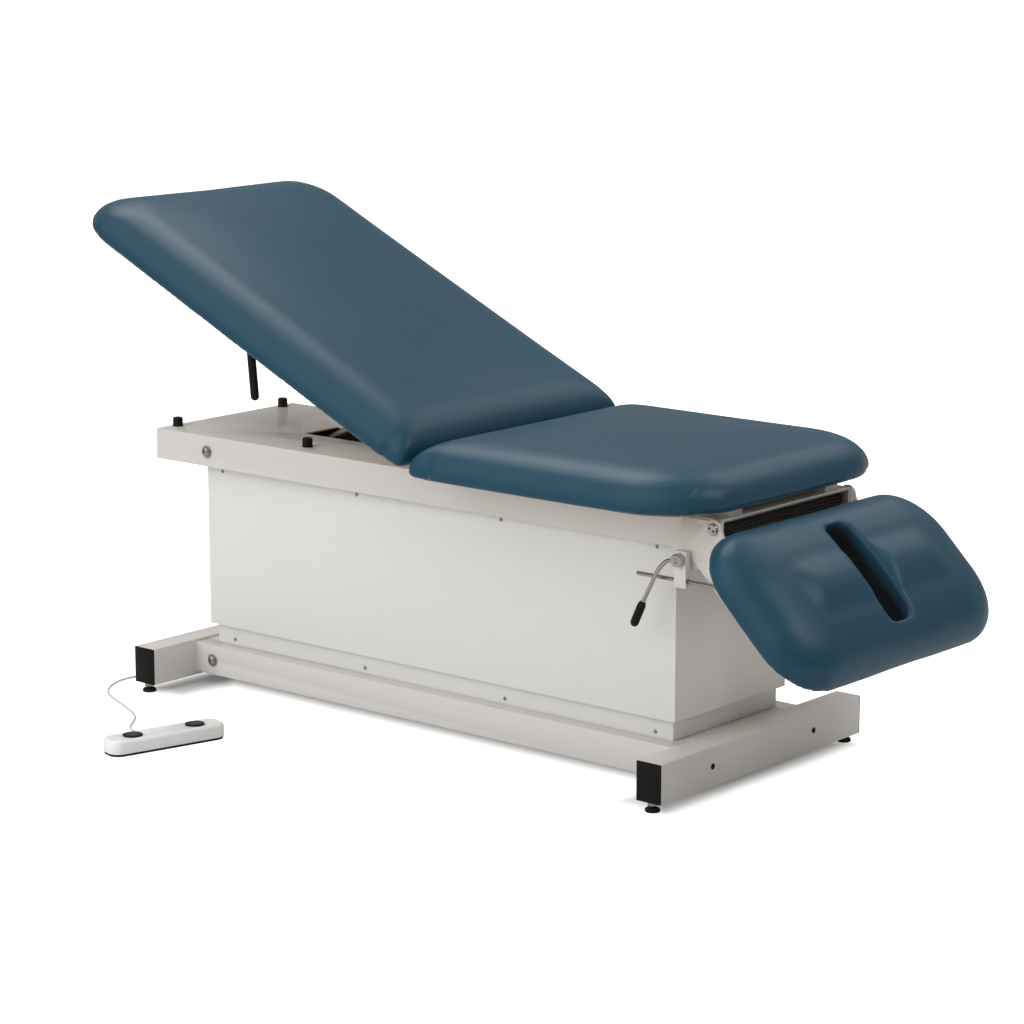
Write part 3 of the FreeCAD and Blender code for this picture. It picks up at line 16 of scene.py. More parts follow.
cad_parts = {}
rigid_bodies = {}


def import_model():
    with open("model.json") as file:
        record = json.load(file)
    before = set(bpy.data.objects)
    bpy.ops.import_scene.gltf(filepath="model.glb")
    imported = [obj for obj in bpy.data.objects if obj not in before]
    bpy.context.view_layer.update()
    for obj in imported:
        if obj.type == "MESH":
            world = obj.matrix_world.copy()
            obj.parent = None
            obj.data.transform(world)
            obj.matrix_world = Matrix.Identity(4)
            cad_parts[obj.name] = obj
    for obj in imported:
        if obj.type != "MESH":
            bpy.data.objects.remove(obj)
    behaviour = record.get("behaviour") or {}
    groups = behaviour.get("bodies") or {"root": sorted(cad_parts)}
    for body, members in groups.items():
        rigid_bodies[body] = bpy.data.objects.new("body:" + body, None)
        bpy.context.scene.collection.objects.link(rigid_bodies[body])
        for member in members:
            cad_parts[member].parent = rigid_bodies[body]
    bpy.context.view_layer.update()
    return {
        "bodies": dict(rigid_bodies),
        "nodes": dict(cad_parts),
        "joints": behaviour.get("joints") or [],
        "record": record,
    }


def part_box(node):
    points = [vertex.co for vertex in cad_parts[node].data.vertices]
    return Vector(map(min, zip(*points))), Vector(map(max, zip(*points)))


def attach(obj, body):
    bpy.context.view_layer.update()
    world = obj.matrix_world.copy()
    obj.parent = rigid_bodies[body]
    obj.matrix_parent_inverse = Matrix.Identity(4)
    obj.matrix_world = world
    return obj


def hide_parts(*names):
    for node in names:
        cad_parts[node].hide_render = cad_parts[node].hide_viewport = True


LOG = logging.getLogger("table")
MM = 0.001
# Name of the point attribute that holds the painted shade deep in the face slot.
SLOT_SHADE = "slot_depth"
MERGE_DISTANCE = 0.01 * MM
SEAM_DISTANCE = 0.02 * MM
FLAT_ANGLE = math.radians(0.5)
BEVEL_ANGLE = math.radians(32)
BEVELLED_SMOOTH_ANGLE = math.radians(40)
TURNED_SMOOTH_ANGLE = math.radians(38)
WHITE = (1.0, 1.0, 1.0, 1.0)
UP = (0, 0, 1)
TOWARDS_NEAR = (0, -1, 0)
TOWARDS_FAR = (0, 1, 0)
MIRROR_ACROSS = Matrix.Scale(-1, 4, Vector(TOWARDS_FAR))

Object = bpy.types.Object
Socket = bpy.types.NodeSocket
Point = Sequence[float]
Pair = tuple[float, float]
Triple = tuple[float, float, float]
Profile = Sequence[Pair]


# Shader sheets

@dataclass(frozen=True)
class Wire:
    """An output socket of a sheet, which takes part in Python expressions on numbers."""

    sheet: "NodeSheet"
    socket: Socket

    def _joined(self, operation: str, first: "Number", second: "Number") -> "Wire":
        """Return what a Math node's operation makes of two values."""
        node = self.sheet.add("ShaderNodeMath", {"operation": operation}, {0: first, 1: second})
        return Wire(self.sheet, node.outputs[0])

    def __add__(self, other: "Number") -> "Wire":
        """Return this plus another value."""
        return self._joined("ADD", self, other)

    def __sub__(self, other: "Number") -> "Wire":
        """Return this minus another value."""
        return self._joined("SUBTRACT", self, other)

    def __mul__(self, other: "Number") -> "Wire":
        """Return this times another value."""
        return self._joined("MULTIPLY", self, other)

    def __abs__(self) -> "Wire":
        """Return the value without its sign."""
        return self._joined("ABSOLUTE", self, 0.0)

    def least(self, other: "Number") -> "Wire":
        """Return the smaller of this and another value."""
        return self._joined("MINIMUM", self, other)

    def most(self, other: "Number") -> "Wire":
        """Return the larger of this and another value."""
        return self._joined("MAXIMUM", self, other)


Number = Union[float, Wire]


class NodeSheet:
    """A node tree that is filled from empty."""

    def __init__(self, tree: bpy.types.NodeTree) -> None:
        """Clear the tree and keep it."""
        tree.nodes.clear()
        self.tree = tree

    def add(self, kind: str, settings: dict | None = None, inputs: dict | None = None) -> bpy.types.Node:
        """Add a node.

        Args:
            kind: The node's type.
            settings: Properties of the node, set first.
            inputs: Values, sockets or wires by the name or number of the node's inputs.

        Returns:
            The new node.
        """
        node = self.tree.nodes.new(kind)
        for name, value in (settings or {}).items():
            setattr(node, name, value)
        for name, value in (inputs or {}).items():
            if isinstance(value, Wire):
                value = value.socket
            if isinstance(value, Socket):
                self.tree.links.new(value, node.inputs[name])
            else:
                node.inputs[name].default_value = value
        return node


class ShaderSheet(NodeSheet):
    """The node sheet of one material."""

    def __init__(self, name: str) -> None:
        """Make a material with an empty sheet.

        Args:
            name: The material's name.
        """
        self.material = bpy.data.materials.new(name)
        self.material.use_nodes = True
        super().__init__(self.material.node_tree)
        self.coordinates = self.add("ShaderNodeTexCoord").outputs["Object"]

    def noise(self, scale: float, detail: float, vector: Socket | None = None) -> Wire:
        """Return a noise from 0 to 1 by its waves per metre, its octaves and its coordinates."""
        inputs = {"Vector": vector or self.coordinates, "Scale": scale, "Detail": detail}
        return Wire(self, self.add("ShaderNodeTexNoise", {}, inputs).outputs["Fac"])

    def cells(self, scale: float) -> Wire:
        """Return the distance to the nearest of scattered points, so many to the metre."""
        node = self.add("ShaderNodeTexVoronoi", {"feature": "SMOOTH_F1"},
                        {"Vector": self.coordinates, "Scale": scale, "Smoothness": 0.4})
        return Wire(self, node.outputs["Distance"])

    def stretched(self, factors: Point) -> Socket:
        """Return the object's coordinates, each multiplied by a factor."""
        return self.add("ShaderNodeMapping", {}, {"Vector": self.coordinates, "Scale": factors}).outputs[0]

    def between(self, share: Wire, low: Point, high: Point) -> Socket:
        """Return a varying colour.

        Args:
            share: How far it is from the first colour to the second, from 0 to 1.
            low: The first colour.
            high: The second colour.

        Returns:
            The colour's socket.
        """
        ramp = self.add("ShaderNodeValToRGB", {}, {"Fac": share})
        for stop, colour in zip(ramp.color_ramp.elements, (low, high)):
            stop.color = (*colour, 1.0)
        return ramp.outputs["Color"]

    def darkened(self, share: Wire, light: Socket, dark: Point) -> Socket:
        """Return a varying colour that goes over to a dark one by a share from 0 to 1."""
        node = self.add("ShaderNodeMix", {"data_type": "RGBA"}, {0: share, 6: light, 7: (*dark, 1.0)})
        return node.outputs[2]

    def bump(self, height: Wire, depth: float, strength: float) -> Socket:
        """Return a normal bent by a height, by what 1 stands for in metres and how much of it shows."""
        inputs = {"Height": height, "Distance": depth, "Strength": strength}
        return self.add("ShaderNodeBump", {}, inputs).outputs["Normal"]

    def finish(self, inputs: dict) -> bpy.types.Material:
        """Close the sheet with a Principled shader.

        Args:
            inputs: Values or links of the shader's sockets.

        Returns:
            The material.
        """
        shader = self.add("ShaderNodeBsdfPrincipled", {}, inputs)
        self.add("ShaderNodeOutputMaterial", {}, {"Surface": shader.outputs["BSDF"]})
        return self.material


def tint(colour: Point, factor: float) -> Triple:
    """Return a colour made lighter or darker by a factor."""
    return tuple(min(1.0, channel * factor) for channel in colour)


# Finishes

@dataclass(frozen=True)
class Vinyl:
    """Soft upholstery vinyl with a fine leather grain, and painted shade deep in the face slot."""

    name: str = "teal_vinyl"
    colour: Triple = (0.0078, 0.057, 0.096)
    roughness: float = 0.36
    specular: float = 0.32
    mottle_per_metre: float = 7.0
    dimple_per_metre: float = 28.0
    grain_per_metre: float = 620.0
    grain_depth: float = 0.00022
    grain_strength: float = 0.35
    # How much of its colour the vinyl keeps deepest in the face slot: painted shade.
    slot_shade_share: float = 0.06

    def make(self) -> bpy.types.Material:
        """Return the material."""
        sheet = ShaderSheet(self.name)
        mottle = sheet.noise(self.mottle_per_metre, 3.0)
        grain = sheet.cells(self.grain_per_metre) * 0.6 + sheet.noise(self.grain_per_metre * 0.4, 3.0) * 0.4
        dimple = sheet.noise(self.dimple_per_metre, 2.0)
        # Deep in the face slot the vinyl is darkened and made rougher: painted shade.
        attribute = sheet.add("ShaderNodeAttribute", {"attribute_name": SLOT_SHADE})
        depth = Wire(sheet, attribute.outputs["Fac"])
        cover = sheet.between(mottle, tint(self.colour, 0.9), tint(self.colour, 1.1))
        return sheet.finish({
            "Base Color": sheet.darkened(depth, cover, tint(self.colour, self.slot_shade_share)),
            "Roughness": mottle * 0.06 + grain * 0.08 + depth * 0.4 + (self.roughness - 0.05),
            "Specular IOR Level": self.specular,
            "Normal": sheet.bump(grain + dimple * 0.6, self.grain_depth, self.grain_strength),
        })


@dataclass(frozen=True)
class PowderCoat:
    """Sprayed and baked paint with a slight orange peel."""

    name: str
    colour: Triple
    roughness: float = 0.38
    coat: float = 0.25
    coat_roughness: float = 0.18
    cloud_per_metre: float = 3.0
    speck_per_metre: float = 2600.0
    peel_per_metre: float = 900.0
    peel_depth: float = 0.00006
    peel_strength: float = 0.6

    def make(self) -> bpy.types.Material:
        """Return the material."""
        sheet = ShaderSheet(self.name)
        cloud = sheet.noise(self.cloud_per_metre, 3.0)
        peel = sheet.noise(self.peel_per_metre, 2.0)
        speck = sheet.noise(self.speck_per_metre, 1.0)
        shades = (tint(self.colour, 0.955), tint(self.colour, 1.03))
        return sheet.finish({
            "Base Color": sheet.between(cloud * 0.7 + speck * 0.3, *shades),
            "Roughness": cloud * 0.08 + (self.roughness - 0.04),
            "Coat Weight": self.coat,
            "Coat Roughness": self.coat_roughness,
            "Normal": sheet.bump(peel, self.peel_depth, self.peel_strength),
        })


@dataclass(frozen=True)
class Moulding:
    """Moulded plastic or rubber with a fine texture."""

    name: str
    colour: Triple
    roughness: float = 0.5
    texture_per_metre: float = 1400.0
    texture_depth: float = 0.00008
    specular: float = 0.5
    cloud_per_metre: float = 14.0
    texture_strength: float = 0.5

    def make(self) -> bpy.types.Material:
        """Return the material."""
        sheet = ShaderSheet(self.name)
        cloud = sheet.noise(self.cloud_per_metre, 3.0)
        texture = sheet.noise(self.texture_per_metre, 2.0)
        return sheet.finish({
            "Base Color": sheet.between(cloud, tint(self.colour, 0.88), tint(self.colour, 1.12)),
            "Roughness": cloud * 0.12 + (self.roughness - 0.06),
            "Specular IOR Level": self.specular,
            "Normal": sheet.bump(texture, self.texture_depth, self.texture_strength),
        })


@dataclass(frozen=True)
class Metal:
    """Plated or brushed steel."""

    name: str
    colour: Triple
    roughness: float = 0.25
    grain: Triple = (1.0, 1.0, 1.0)
    grain_depth: float = 0.00002
    grain_strength: float = 0.5
    grain_per_metre: float = 700.0
    smear_per_metre: float = 22.0

    def make(self) -> bpy.types.Material:
        """Return the material."""
        sheet = ShaderSheet(self.name)
        smear = sheet.noise(self.smear_per_metre, 4.0)
        lines = sheet.noise(self.grain_per_metre, 2.0, sheet.stretched(self.grain))
        return sheet.finish({
            "Base Color": sheet.between(smear, tint(self.colour, 0.86), tint(self.colour, 1.05)),
            "Metallic": 1.0,
            "Roughness": smear * 0.1 + lines * 0.06 + (self.roughness - 0.08),
            "Normal": sheet.bump(lines, self.grain_depth, self.grain_strength),
        })


@dataclass(frozen=True)
class Plywood:
    """Birch plywood with its long grain."""

    name: str = "birch_plywood"
    light: Triple = (0.52, 0.38, 0.23)
    dark: Triple = (0.36, 0.24, 0.13)
    grain_per_metre: float = 10.0
    pores_per_metre: float = 120.0
    pore_depth: float = 0.0002
    pore_strength: float = 0.4

    def make(self) -> bpy.types.Material:
        """Return the material."""
        sheet = ShaderSheet(self.name)
        grain = sheet.noise(self.grain_per_metre, 6.0, sheet.stretched((1.0, 14.0, 14.0)))
        pores = sheet.noise(self.pores_per_metre, 2.0, sheet.stretched((1.0, 12.0, 12.0)))
        return sheet.finish({
            "Base Color": sheet.between(grain * 0.8 + pores * 0.2, self.dark, self.light),
            "Roughness": grain * 0.2 + 0.5,
            "Normal": sheet.bump(pores, self.pore_depth, self.pore_strength),
        })


class Finish(Enum):
    """The finishes of the table, each with its recipe."""

    VINYL = Vinyl()
    FRAME_PAINT = PowderCoat("frame_paint", (0.70, 0.675, 0.635), 0.32, 0.5)
    SHROUD_PAINT = PowderCoat("shroud_paint", (0.79, 0.785, 0.76), 0.42, 0.15)
    BASE_PAINT = PowderCoat("base_paint", (0.70, 0.67, 0.635), 0.36, 0.3)
    CLAMP_WHITE = Moulding("clamp_white", (0.72, 0.71, 0.67), 0.42)
    CONTROL_WHITE = Moulding("control_white", (0.97, 0.96, 0.93), 0.34)
    BLACK_PLASTIC = Moulding("black_plastic", (0.0045, 0.0042, 0.004), 0.5, 1400.0, 0.00008, 0.2)
    BLACK_RUBBER = Moulding("black_rubber", (0.009, 0.0088, 0.0088), 0.6, 900.0, 0.00015, 0.22)
    INSERT_RUBBER = Moulding("insert_rubber", (0.016, 0.012, 0.010), 0.42, 700.0, 0.00012, 0.5)
    BUTTON = Moulding("button_plastic", (0.05, 0.043, 0.078), 0.45, 1400.0, 0.00008, 0.16)
    CORD = Moulding("cord_jacket", (0.66, 0.64, 0.60), 0.45)
    ZINC = Metal("zinc_plate", (0.42, 0.395, 0.37), 0.28)
    CHROME = Metal("chrome_plate", (0.47, 0.435, 0.41), 0.15)
    BRIGHT_RIM = Metal("bright_rim", (0.60, 0.54, 0.50), 0.3, (1.0, 0.05, 1.0))
    PLYWOOD = Plywood()


@cache
def material_of(finish: Finish) -> bpy.types.Material:
    """Return the material of a finish, which is made once."""
    return finish.value.make()


# Modelling helpers

def only(piece: Object) -> None:
    """Select one object alone and make it active.

    Args:
        piece: The object.
    """
    for other in bpy.context.selected_objects:
        other.select_set(False)
    piece.select_set(True)
    bpy.context.view_layer.objects.active = piece


def edit(piece: Object) -> None:
    """Open one object in edit mode with all of it selected.

    Args:
        piece: The object.
    """
    only(piece)
    bpy.ops.object.mode_set(mode="EDIT")
    bpy.ops.mesh.select_all(action="SELECT")


def leave_edit() -> None:
    """Close edit mode."""
    bpy.ops.object.mode_set(mode="OBJECT")


def added(name: str) -> Object:
    """Settle the place of the primitive that was just added into its mesh.

    Args:
        name: Its new name.

    Returns:
        The piece.
    """
    piece = bpy.context.active_object
    piece.name = piece.data.name = name
    only(piece)
    bpy.ops.object.transform_apply(location=True, rotation=True, scale=True)
    return piece


def finish_with(piece: Object, kind: str, settings: dict) -> None:
    """Add a modifier and apply it.

    Args:
        piece: The object.
        kind: The modifier's type.
        settings: Its properties.
    """
    modifier = piece.modifiers.new(kind.lower(), kind)
    for name, value in settings.items():
        setattr(modifier, name, value)
    only(piece)
    bpy.ops.object.modifier_apply(modifier=modifier.name)


def raised(profile: Profile, height: float) -> list[Pair]:
    """Return a profile with its heights raised."""
    return [(radius, level + height) for radius, level in profile]


def domed(radius: float, foot: float, rise: float, steps: int) -> list[Pair]:
    """Return the profile of a rounded end, from above its foot to the axis.

    Args:
        radius: The radius at the foot.
        foot: The foot's height.
        rise: How far the end rises above it.
        steps: Points of the profile.

    Returns:
        Radii and heights.
    """
    turns = [math.pi / 2 * step / steps for step in range(1, steps + 1)]
    return [(radius * math.cos(turn), foot + rise * math.sin(turn)) for turn in turns]


def lathe(name: str, profile: Profile, base: Point, direction: Point, steps: int = 40) -> Object:
    """Turn a profile about an axis.

    Args:
        name: The piece's name.
        profile: Radii and heights along the axis, in millimetres.
        base: The point of height zero, in metres.
        direction: The axis.
        steps: Faces around.

    Returns:
        The closed piece, with its place in its mesh.
    """
    points = [(radius * MM, 0.0, height * MM) for radius, height in profile]
    bpy.ops.mesh.primitive_plane_add(size=MM, location=points[0])
    piece = added(name)
    edit(piece)
    bpy.ops.mesh.merge(type="CENTER")
    for before, after in zip(points, points[1:]):
        step = [end - start for start, end in zip(before, after)]
        bpy.ops.mesh.extrude_vertices_move(TRANSFORM_OT_translate={"value": step})
    bpy.ops.mesh.select_all(action="SELECT")
    bpy.ops.mesh.spin(steps=steps, angle=math.tau, center=(0, 0, 0), axis=UP)
    bpy.ops.mesh.select_all(action="SELECT")
    bpy.ops.mesh.remove_doubles(threshold=SEAM_DISTANCE)
    bpy.ops.mesh.normals_make_consistent(inside=False)
    leave_edit()
    turn = Vector(UP).rotation_difference(Vector(direction).normalized()).to_matrix().to_4x4()
    piece.data.transform(Matrix.Translation(Vector(base)) @ turn)
    only(piece)
    bpy.ops.object.shade_smooth_by_angle(angle=TURNED_SMOOTH_ANGLE)
    return piece


def joined(name: str, pieces: Sequence[Object]) -> Object:
    """Join pieces into one.

    Args:
        name: Its name.
        pieces: The pieces.

    Returns:
        The one piece.
    """
    only(pieces[0])
    for piece in pieces[1:]:
        piece.select_set(True)
    bpy.ops.object.join()
    pieces[0].name = pieces[0].data.name = name
    return pieces[0]


def copied(piece: Object, name: str, shift: Matrix) -> Object:
    """Copy a piece and its mesh.

    Args:
        piece: The piece.
        name: The copy's name.
        shift: A matrix that moves the copy.

    Returns:
        The copy.
    """
    mesh = piece.data.copy()
    mesh.name = name
    mesh.transform(shift)
    if shift.determinant() < 0:
        mesh.flip_normals()
    twin = bpy.data.objects.new(name, mesh)
    bpy.context.scene.collection.objects.link(twin)
    return twin


@dataclass
class Assembly:
    """A refinement is a finish, a rounding in millimetres and the names of the CAD nodes that get them.
    """

    frame: dict
    refinements: Sequence[tuple[Finish, float, str]] = ()

    def __post_init__(self) -> None:
        """Look up the nodes, their slots and their bodies."""
        record = self.frame["record"]
        self.nodes = self.frame["nodes"]
        self.slots = {part["node"]: part["material_slot"] for part in record["subparts"]}
        self.bodies = {node: body for body, nodes in record["behaviour"]["bodies"].items() for node in nodes}

    def paint(self, piece: Object, finish: Finish) -> None:
        """Give a piece one finish."""
        piece.data.materials.clear()
        piece.data.materials.append(material_of(finish))

    def settle(self, piece: Object, finish: Finish, node: str, stands_for: bool = True) -> None:
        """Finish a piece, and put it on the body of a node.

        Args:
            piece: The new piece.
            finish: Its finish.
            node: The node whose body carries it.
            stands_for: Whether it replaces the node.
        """
        self.paint(piece, finish)
        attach(piece, self.bodies[node])
        if stands_for:
            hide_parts(node)
        LOG.info("%s rides on %s", piece.name, self.bodies[node])

    def copy_of(self, node: str, name: str) -> Object:
        """Copy a CAD node's mesh and merge its points.

        Args:
            node: The node.
            name: The copy's name.

        Returns:
            The copy.
        """
        piece = copied(self.nodes[node], name, Matrix.Identity(4))
        edit(piece)
        bpy.ops.mesh.remove_doubles(threshold=MERGE_DISTANCE)
        leave_edit()
        return piece

    def refine(self) -> None:
        """Replace CAD nodes by copies of them with rounded edges."""
        for finish, width, nodes in self.refinements:
            for node in nodes.split():
                piece = self.copy_of(node, f"{node}_finished")
                edit(piece)
                bpy.ops.mesh.dissolve_limited(angle_limit=FLAT_ANGLE)
                leave_edit()
                finish_with(piece, "BEVEL", {"width": width * MM, "segments": 2, "limit_method": "ANGLE",
                                             "angle_limit": BEVEL_ANGLE, "use_clamp_overlap": True,
                                             "miter_outer": "MITER_ARC"})
                bpy.ops.object.shade_smooth_by_angle(angle=BEVELLED_SMOOTH_ANGLE)
                self.settle(piece, finish, node)


# Padding

def eased(share: float) -> float:
    """Return a share held between 0 and 1, with soft ends."""
    held = min(1.0, max(0.0, share))
    return held * held * (3.0 - 2.0 * held)


@dataclass(frozen=True)
class FaceSlot:
    """The slot for the face, in the plane of its section: start, end and half width."""

    start: float = 86.0 * MM
    end: float = 301.0 * MM
    half: float = 35.0 * MM
    calm_reach: float = 90.0 * MM
    wall_calm: float = 0.01
    rim_calm: float = 0.02
    # The painted shade in the slot begins this far below the highest point of its walls and deepens over the
    # fade.
    lip: float = 7.0 * MM
    fade: float = 26.0 * MM


@dataclass(frozen=True)
class Cushion:
    """One upholstered section: its CAD form, swollen by a cloth simulation.

    The pivot is a point of the section's own plane, along and above the table, and the angle in degrees is
    how far that plane is turned down. The cover moves out by the cap at the most, by the edge cap at the
    bottom. After that its edges are flared at the bottom and drawn in at the shoulder, less where the
    section meets a neighbour.
    """

    node: str
    pivot: Pair
    angle: float
    voxel: float
    cap: float
    fill: float = 0.75
    flare: float = 11.0 * MM
    draw_in: float = 4.5 * MM
    meeting_flare: float = 4.0 * MM
    meeting_after: float = math.inf
    meeting_before: float = -math.inf
    plump: float = 1.0 * MM
    slot: FaceSlot | None = None
    edge_cap: float = 2.5 * MM
    side: float = 22.0 * MM
    frames: int = 12
    pressure: float = 4.0
    cloth_quality: int = 3
    evenings: int = 24
    smoothing: float = 0.5
    first_smoothings: int = 3
    last_smoothings: int = 4

    def flat(self, point: Vector) -> Vector:
        """Find a point's place in the section's own plane.

        Args:
            point: The point.

        Returns:
            Its place along, across and above the plane.
        """
        turn = math.radians(self.angle)
        along = point.x - self.pivot[0]
        up = point.z - self.pivot[1]
        return Vector((along * math.cos(turn) - up * math.sin(turn), point.y,
                       along * math.sin(turn) + up * math.cos(turn)))

    def calm(self, place: Vector) -> float:
        """Find how freely a point of the cover may move.

        Args:
            place: Its place in the section's own plane.

        Returns:
            0 in the slot, 1 away from it.
        """
        if self.slot is None:
            return 1.0
        along = max(self.slot.start - place.x, place.x - self.slot.end, 0.0)
        across = max(abs(place.y) - self.slot.half, 0.0)
        return eased(math.hypot(along, across) / self.slot.calm_reach)

    def meets(self, along: float) -> bool:
        """Return whether a place along the section lies at an edge that meets a neighbour."""
        return along > self.meeting_after or along < self.meeting_before

    def build(self, assembly: "Padding") -> None:
        """Make the cushion.

        Args:
            assembly: The padding that it belongs to.
        """
        piece = assembly.copy_of(self.node, f"{self.node}_padded")
        finish_with(piece, "REMESH", {"mode": "VOXEL", "voxel_size": self.voxel})
        finish_with(piece, "SMOOTH", {"factor": self.smoothing, "iterations": self.first_smoothings})
        self.swell(piece)
        finish_with(piece, "SMOOTH", {"factor": self.smoothing, "iterations": self.last_smoothings})
        self.stretch_cover(piece)
        finish_with(piece, "SUBSURF", {"levels": 1, "render_levels": 1})
        only(piece)
        bpy.ops.object.shade_smooth()
        assembly.settle(piece, Finish.VINYL, self.node)
        # Painted shade deep in the face slot.
        self.paint_slot_shade(piece)

    def swell(self, piece: Object) -> None:
        """Press the vinyl outward by a cloth simulation, no further than the caps.

        Args:
            piece: The cushion's mesh.
        """
        rest = [vertex.co.copy() for vertex in piece.data.vertices]
        places = [self.flat(point) for point in rest]
        low = min(place.z for place in places)
        cloth = piece.modifiers.new("cloth", "CLOTH")
        cloth.settings.effector_weights.gravity = 0.0
        cloth.settings.use_pressure = True
        cloth.settings.uniform_pressure_force = self.pressure
        cloth.settings.quality = self.cloth_quality
        cloth.point_cache.frame_start = 1
        cloth.point_cache.frame_end = self.frames
        scene = bpy.context.scene
        for frame in range(1, self.frames + 1):
            scene.frame_set(frame)
        puffed = piece.evaluated_get(bpy.context.evaluated_depsgraph_get())
        moved = [vertex.co.copy() for vertex in puffed.data.vertices]
        piece.modifiers.remove(cloth)
        scene.frame_set(1)
        steps = []
        for start, end, place in zip(rest, moved, places):
            share = min(1.0, max(0.0, (place.z - low - self.side * 0.5) / (self.side * 1.5)))
            most = self.edge_cap + (self.cap - self.edge_cap) * share
            step = end - start
            steps.append(step.normalized() * min(step.length, most))
        for vertex, start, step, place in zip(piece.data.vertices, rest, self.evened(piece, steps), places):
            vertex.co = start + step * self.calm(place)

    def evened(self, piece: Object, steps: list[Vector]) -> list[Vector]:
        """Even out how far neighbouring points of the cover move, so that no ripple stays.

        Args:
            piece: The cushion's mesh.
            steps: How far each point moves.

        Returns:
            The evened moves.
        """
        ends = [tuple(edge.vertices) for edge in piece.data.edges]
        for _ in range(self.evenings):
            sums = [step.copy() for step in steps]
            counts = [1] * len(steps)
            for first, second in ends:
                sums[first] += steps[second]
                sums[second] += steps[first]
                counts[first] += 1
                counts[second] += 1
            steps = [total / count for total, count in zip(sums, counts)]
        return steps

    def stretch_cover(self, piece: Object) -> None:
        """Move the cover out to where the remeshed form had its edges, with the underside left flat.

        Args:
            piece: The cushion's mesh.
        """
        turn = math.radians(self.angle)
        upward = Vector((math.sin(turn), 0.0, math.cos(turn)))
        places = [self.flat(vertex.co) for vertex in piece.data.vertices]
        low = min(place.z for place in places)
        height = max(place.z for place in places) - low
        steps = []
        for vertex, place in zip(piece.data.vertices, places):
            level = (place.z - low) / height
            rise = vertex.normal.dot(upward)
            flare = self.meeting_flare if self.meets(place.x) else self.flare
            outward = (vertex.normal - upward * rise) * (flare * (1.0 - level) - self.draw_in * level)
            steps.append((outward + upward * (max(0.0, rise) * self.plump)) * self.calm(place))
        for vertex, step in zip(piece.data.vertices, steps):
            vertex.co += step

    def paint_slot_shade(self, piece: Object) -> None:
        """Store how deep in the slot each point of the cover lies, which darkens the vinyl there as painted
        shade.

        Args:
            piece: The finished cushion.
        """
        depth = piece.data.attributes.new(SLOT_SHADE, "FLOAT", "POINT")
        if self.slot is None:
            return
        places = [self.flat(vertex.co) for vertex in piece.data.vertices]
        lip = max(place.z for place in places if self.calm(place) < self.slot.wall_calm) - self.slot.lip
        for index, place in enumerate(places):
            if self.calm(place) < self.slot.rim_calm:
                depth.data[index].value = eased((lip - place.z) / self.slot.fade)


@dataclass
class Padding(Assembly):
    """The three cushions and their boards."""

    cushions: tuple[Cushion, ...] = (
        Cushion("back_cushion", (77.8 * MM, 557.5 * MM), 24.9, 8.0 * MM, 6.5 * MM, meeting_after=-60.0 * MM),
        Cushion("seat_cushion", (86.0 * MM, 539.3 * MM), 0.0, 7.0 * MM, 6.0 * MM, draw_in=6.0 * MM,
                meeting_after=620.0 * MM, meeting_before=60.0 * MM, meeting_flare=5.0 * MM),
        Cushion("drop_cushion", (712.0 * MM, 511.0 * MM), 44.9, 6.0 * MM, 2.6 * MM, flare=4.5 * MM,
                draw_in=6.0 * MM, slot=FaceSlot(), evenings=110),
    )
    boards: tuple[str, ...] = ("back_board", "seat_board", "drop_board")

    def build(self) -> None:
        """Make the cushions and finish the CAD boards under them."""
        for cushion in self.cushions:
            cushion.build(self)
        for board in self.boards:
            self.paint(self.nodes[board], Finish.PLYWOOD)


# Frame, lift and base

@dataclass
class TableFrame(Assembly):
    """The painted top frame with its channel, bumpers and hinge plates."""

    refinements: Sequence[tuple[Finish, float, str]] = (
        (Finish.FRAME_PAINT, 1.2, "top_frame_tray"),
        (Finish.SHROUD_PAINT, 0.5, "upper_shroud"),
        (Finish.FRAME_PAINT, 0.8, "seat_rails drop_hinge_plates"),
        (Finish.BRIGHT_RIM, 0.6, "end_channel"),
        (Finish.INSERT_RUBBER, 0.7, "end_channel_insert"),
        (Finish.ZINC, 0.4, "prop_track back_hinge_ears"),
        (Finish.ZINC, 0.6, "back_hinge_pin"),
    )
    bumper_radius: float = 11.0
    bumper_foot: Profile = ((0, 0), (11, 0), (11, 2), (10.4, 3))
    bumper_top: Profile = ((10.2, -2.5), (9.4, -0.8), (7.6, 0), (2.6, 0), (2.2, -1.5), (0, -1.5))

    def build(self) -> None:
        """Make the top frame."""
        self.refine()
        self.build_bumpers()

    def build_bumpers(self) -> None:
        """Make the four rubber bumpers with rounded tops."""
        low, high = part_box("bumpers")
        radius = self.bumper_radius * MM
        profile = [*self.bumper_foot, *raised(self.bumper_top, (high.z - low.z) / MM)]
        places = [(along, across, low.z) for along in (low.x + radius, high.x - radius)
                  for across in (low.y + radius, high.y - radius)]
        pieces = [lathe("bumper", profile, place, UP) for place in places]
        self.settle(joined("bumper_set", pieces), Finish.BLACK_RUBBER, "bumpers")


@dataclass
class Lift(Assembly):
    """The scissor arms, rollers and actuator inside the shrouds."""

    refinements: Sequence[tuple[Finish, float, str]] = (
        (Finish.BASE_PAINT, 0.8, "outer_arms inner_arms"),
        (Finish.ZINC, 0.6, "outer_crossbar inner_crossbar center_pins upper_rollers lower_rollers"),
        (Finish.ZINC, 0.6, "actuator_base_bracket actuator_ram"),
        (Finish.BLACK_PLASTIC, 1.0, "actuator_barrel"),
        (Finish.BLACK_PLASTIC, 1.5, "actuator_motor"),
    )

    def build(self) -> None:
        """Make the lift."""
        self.refine()


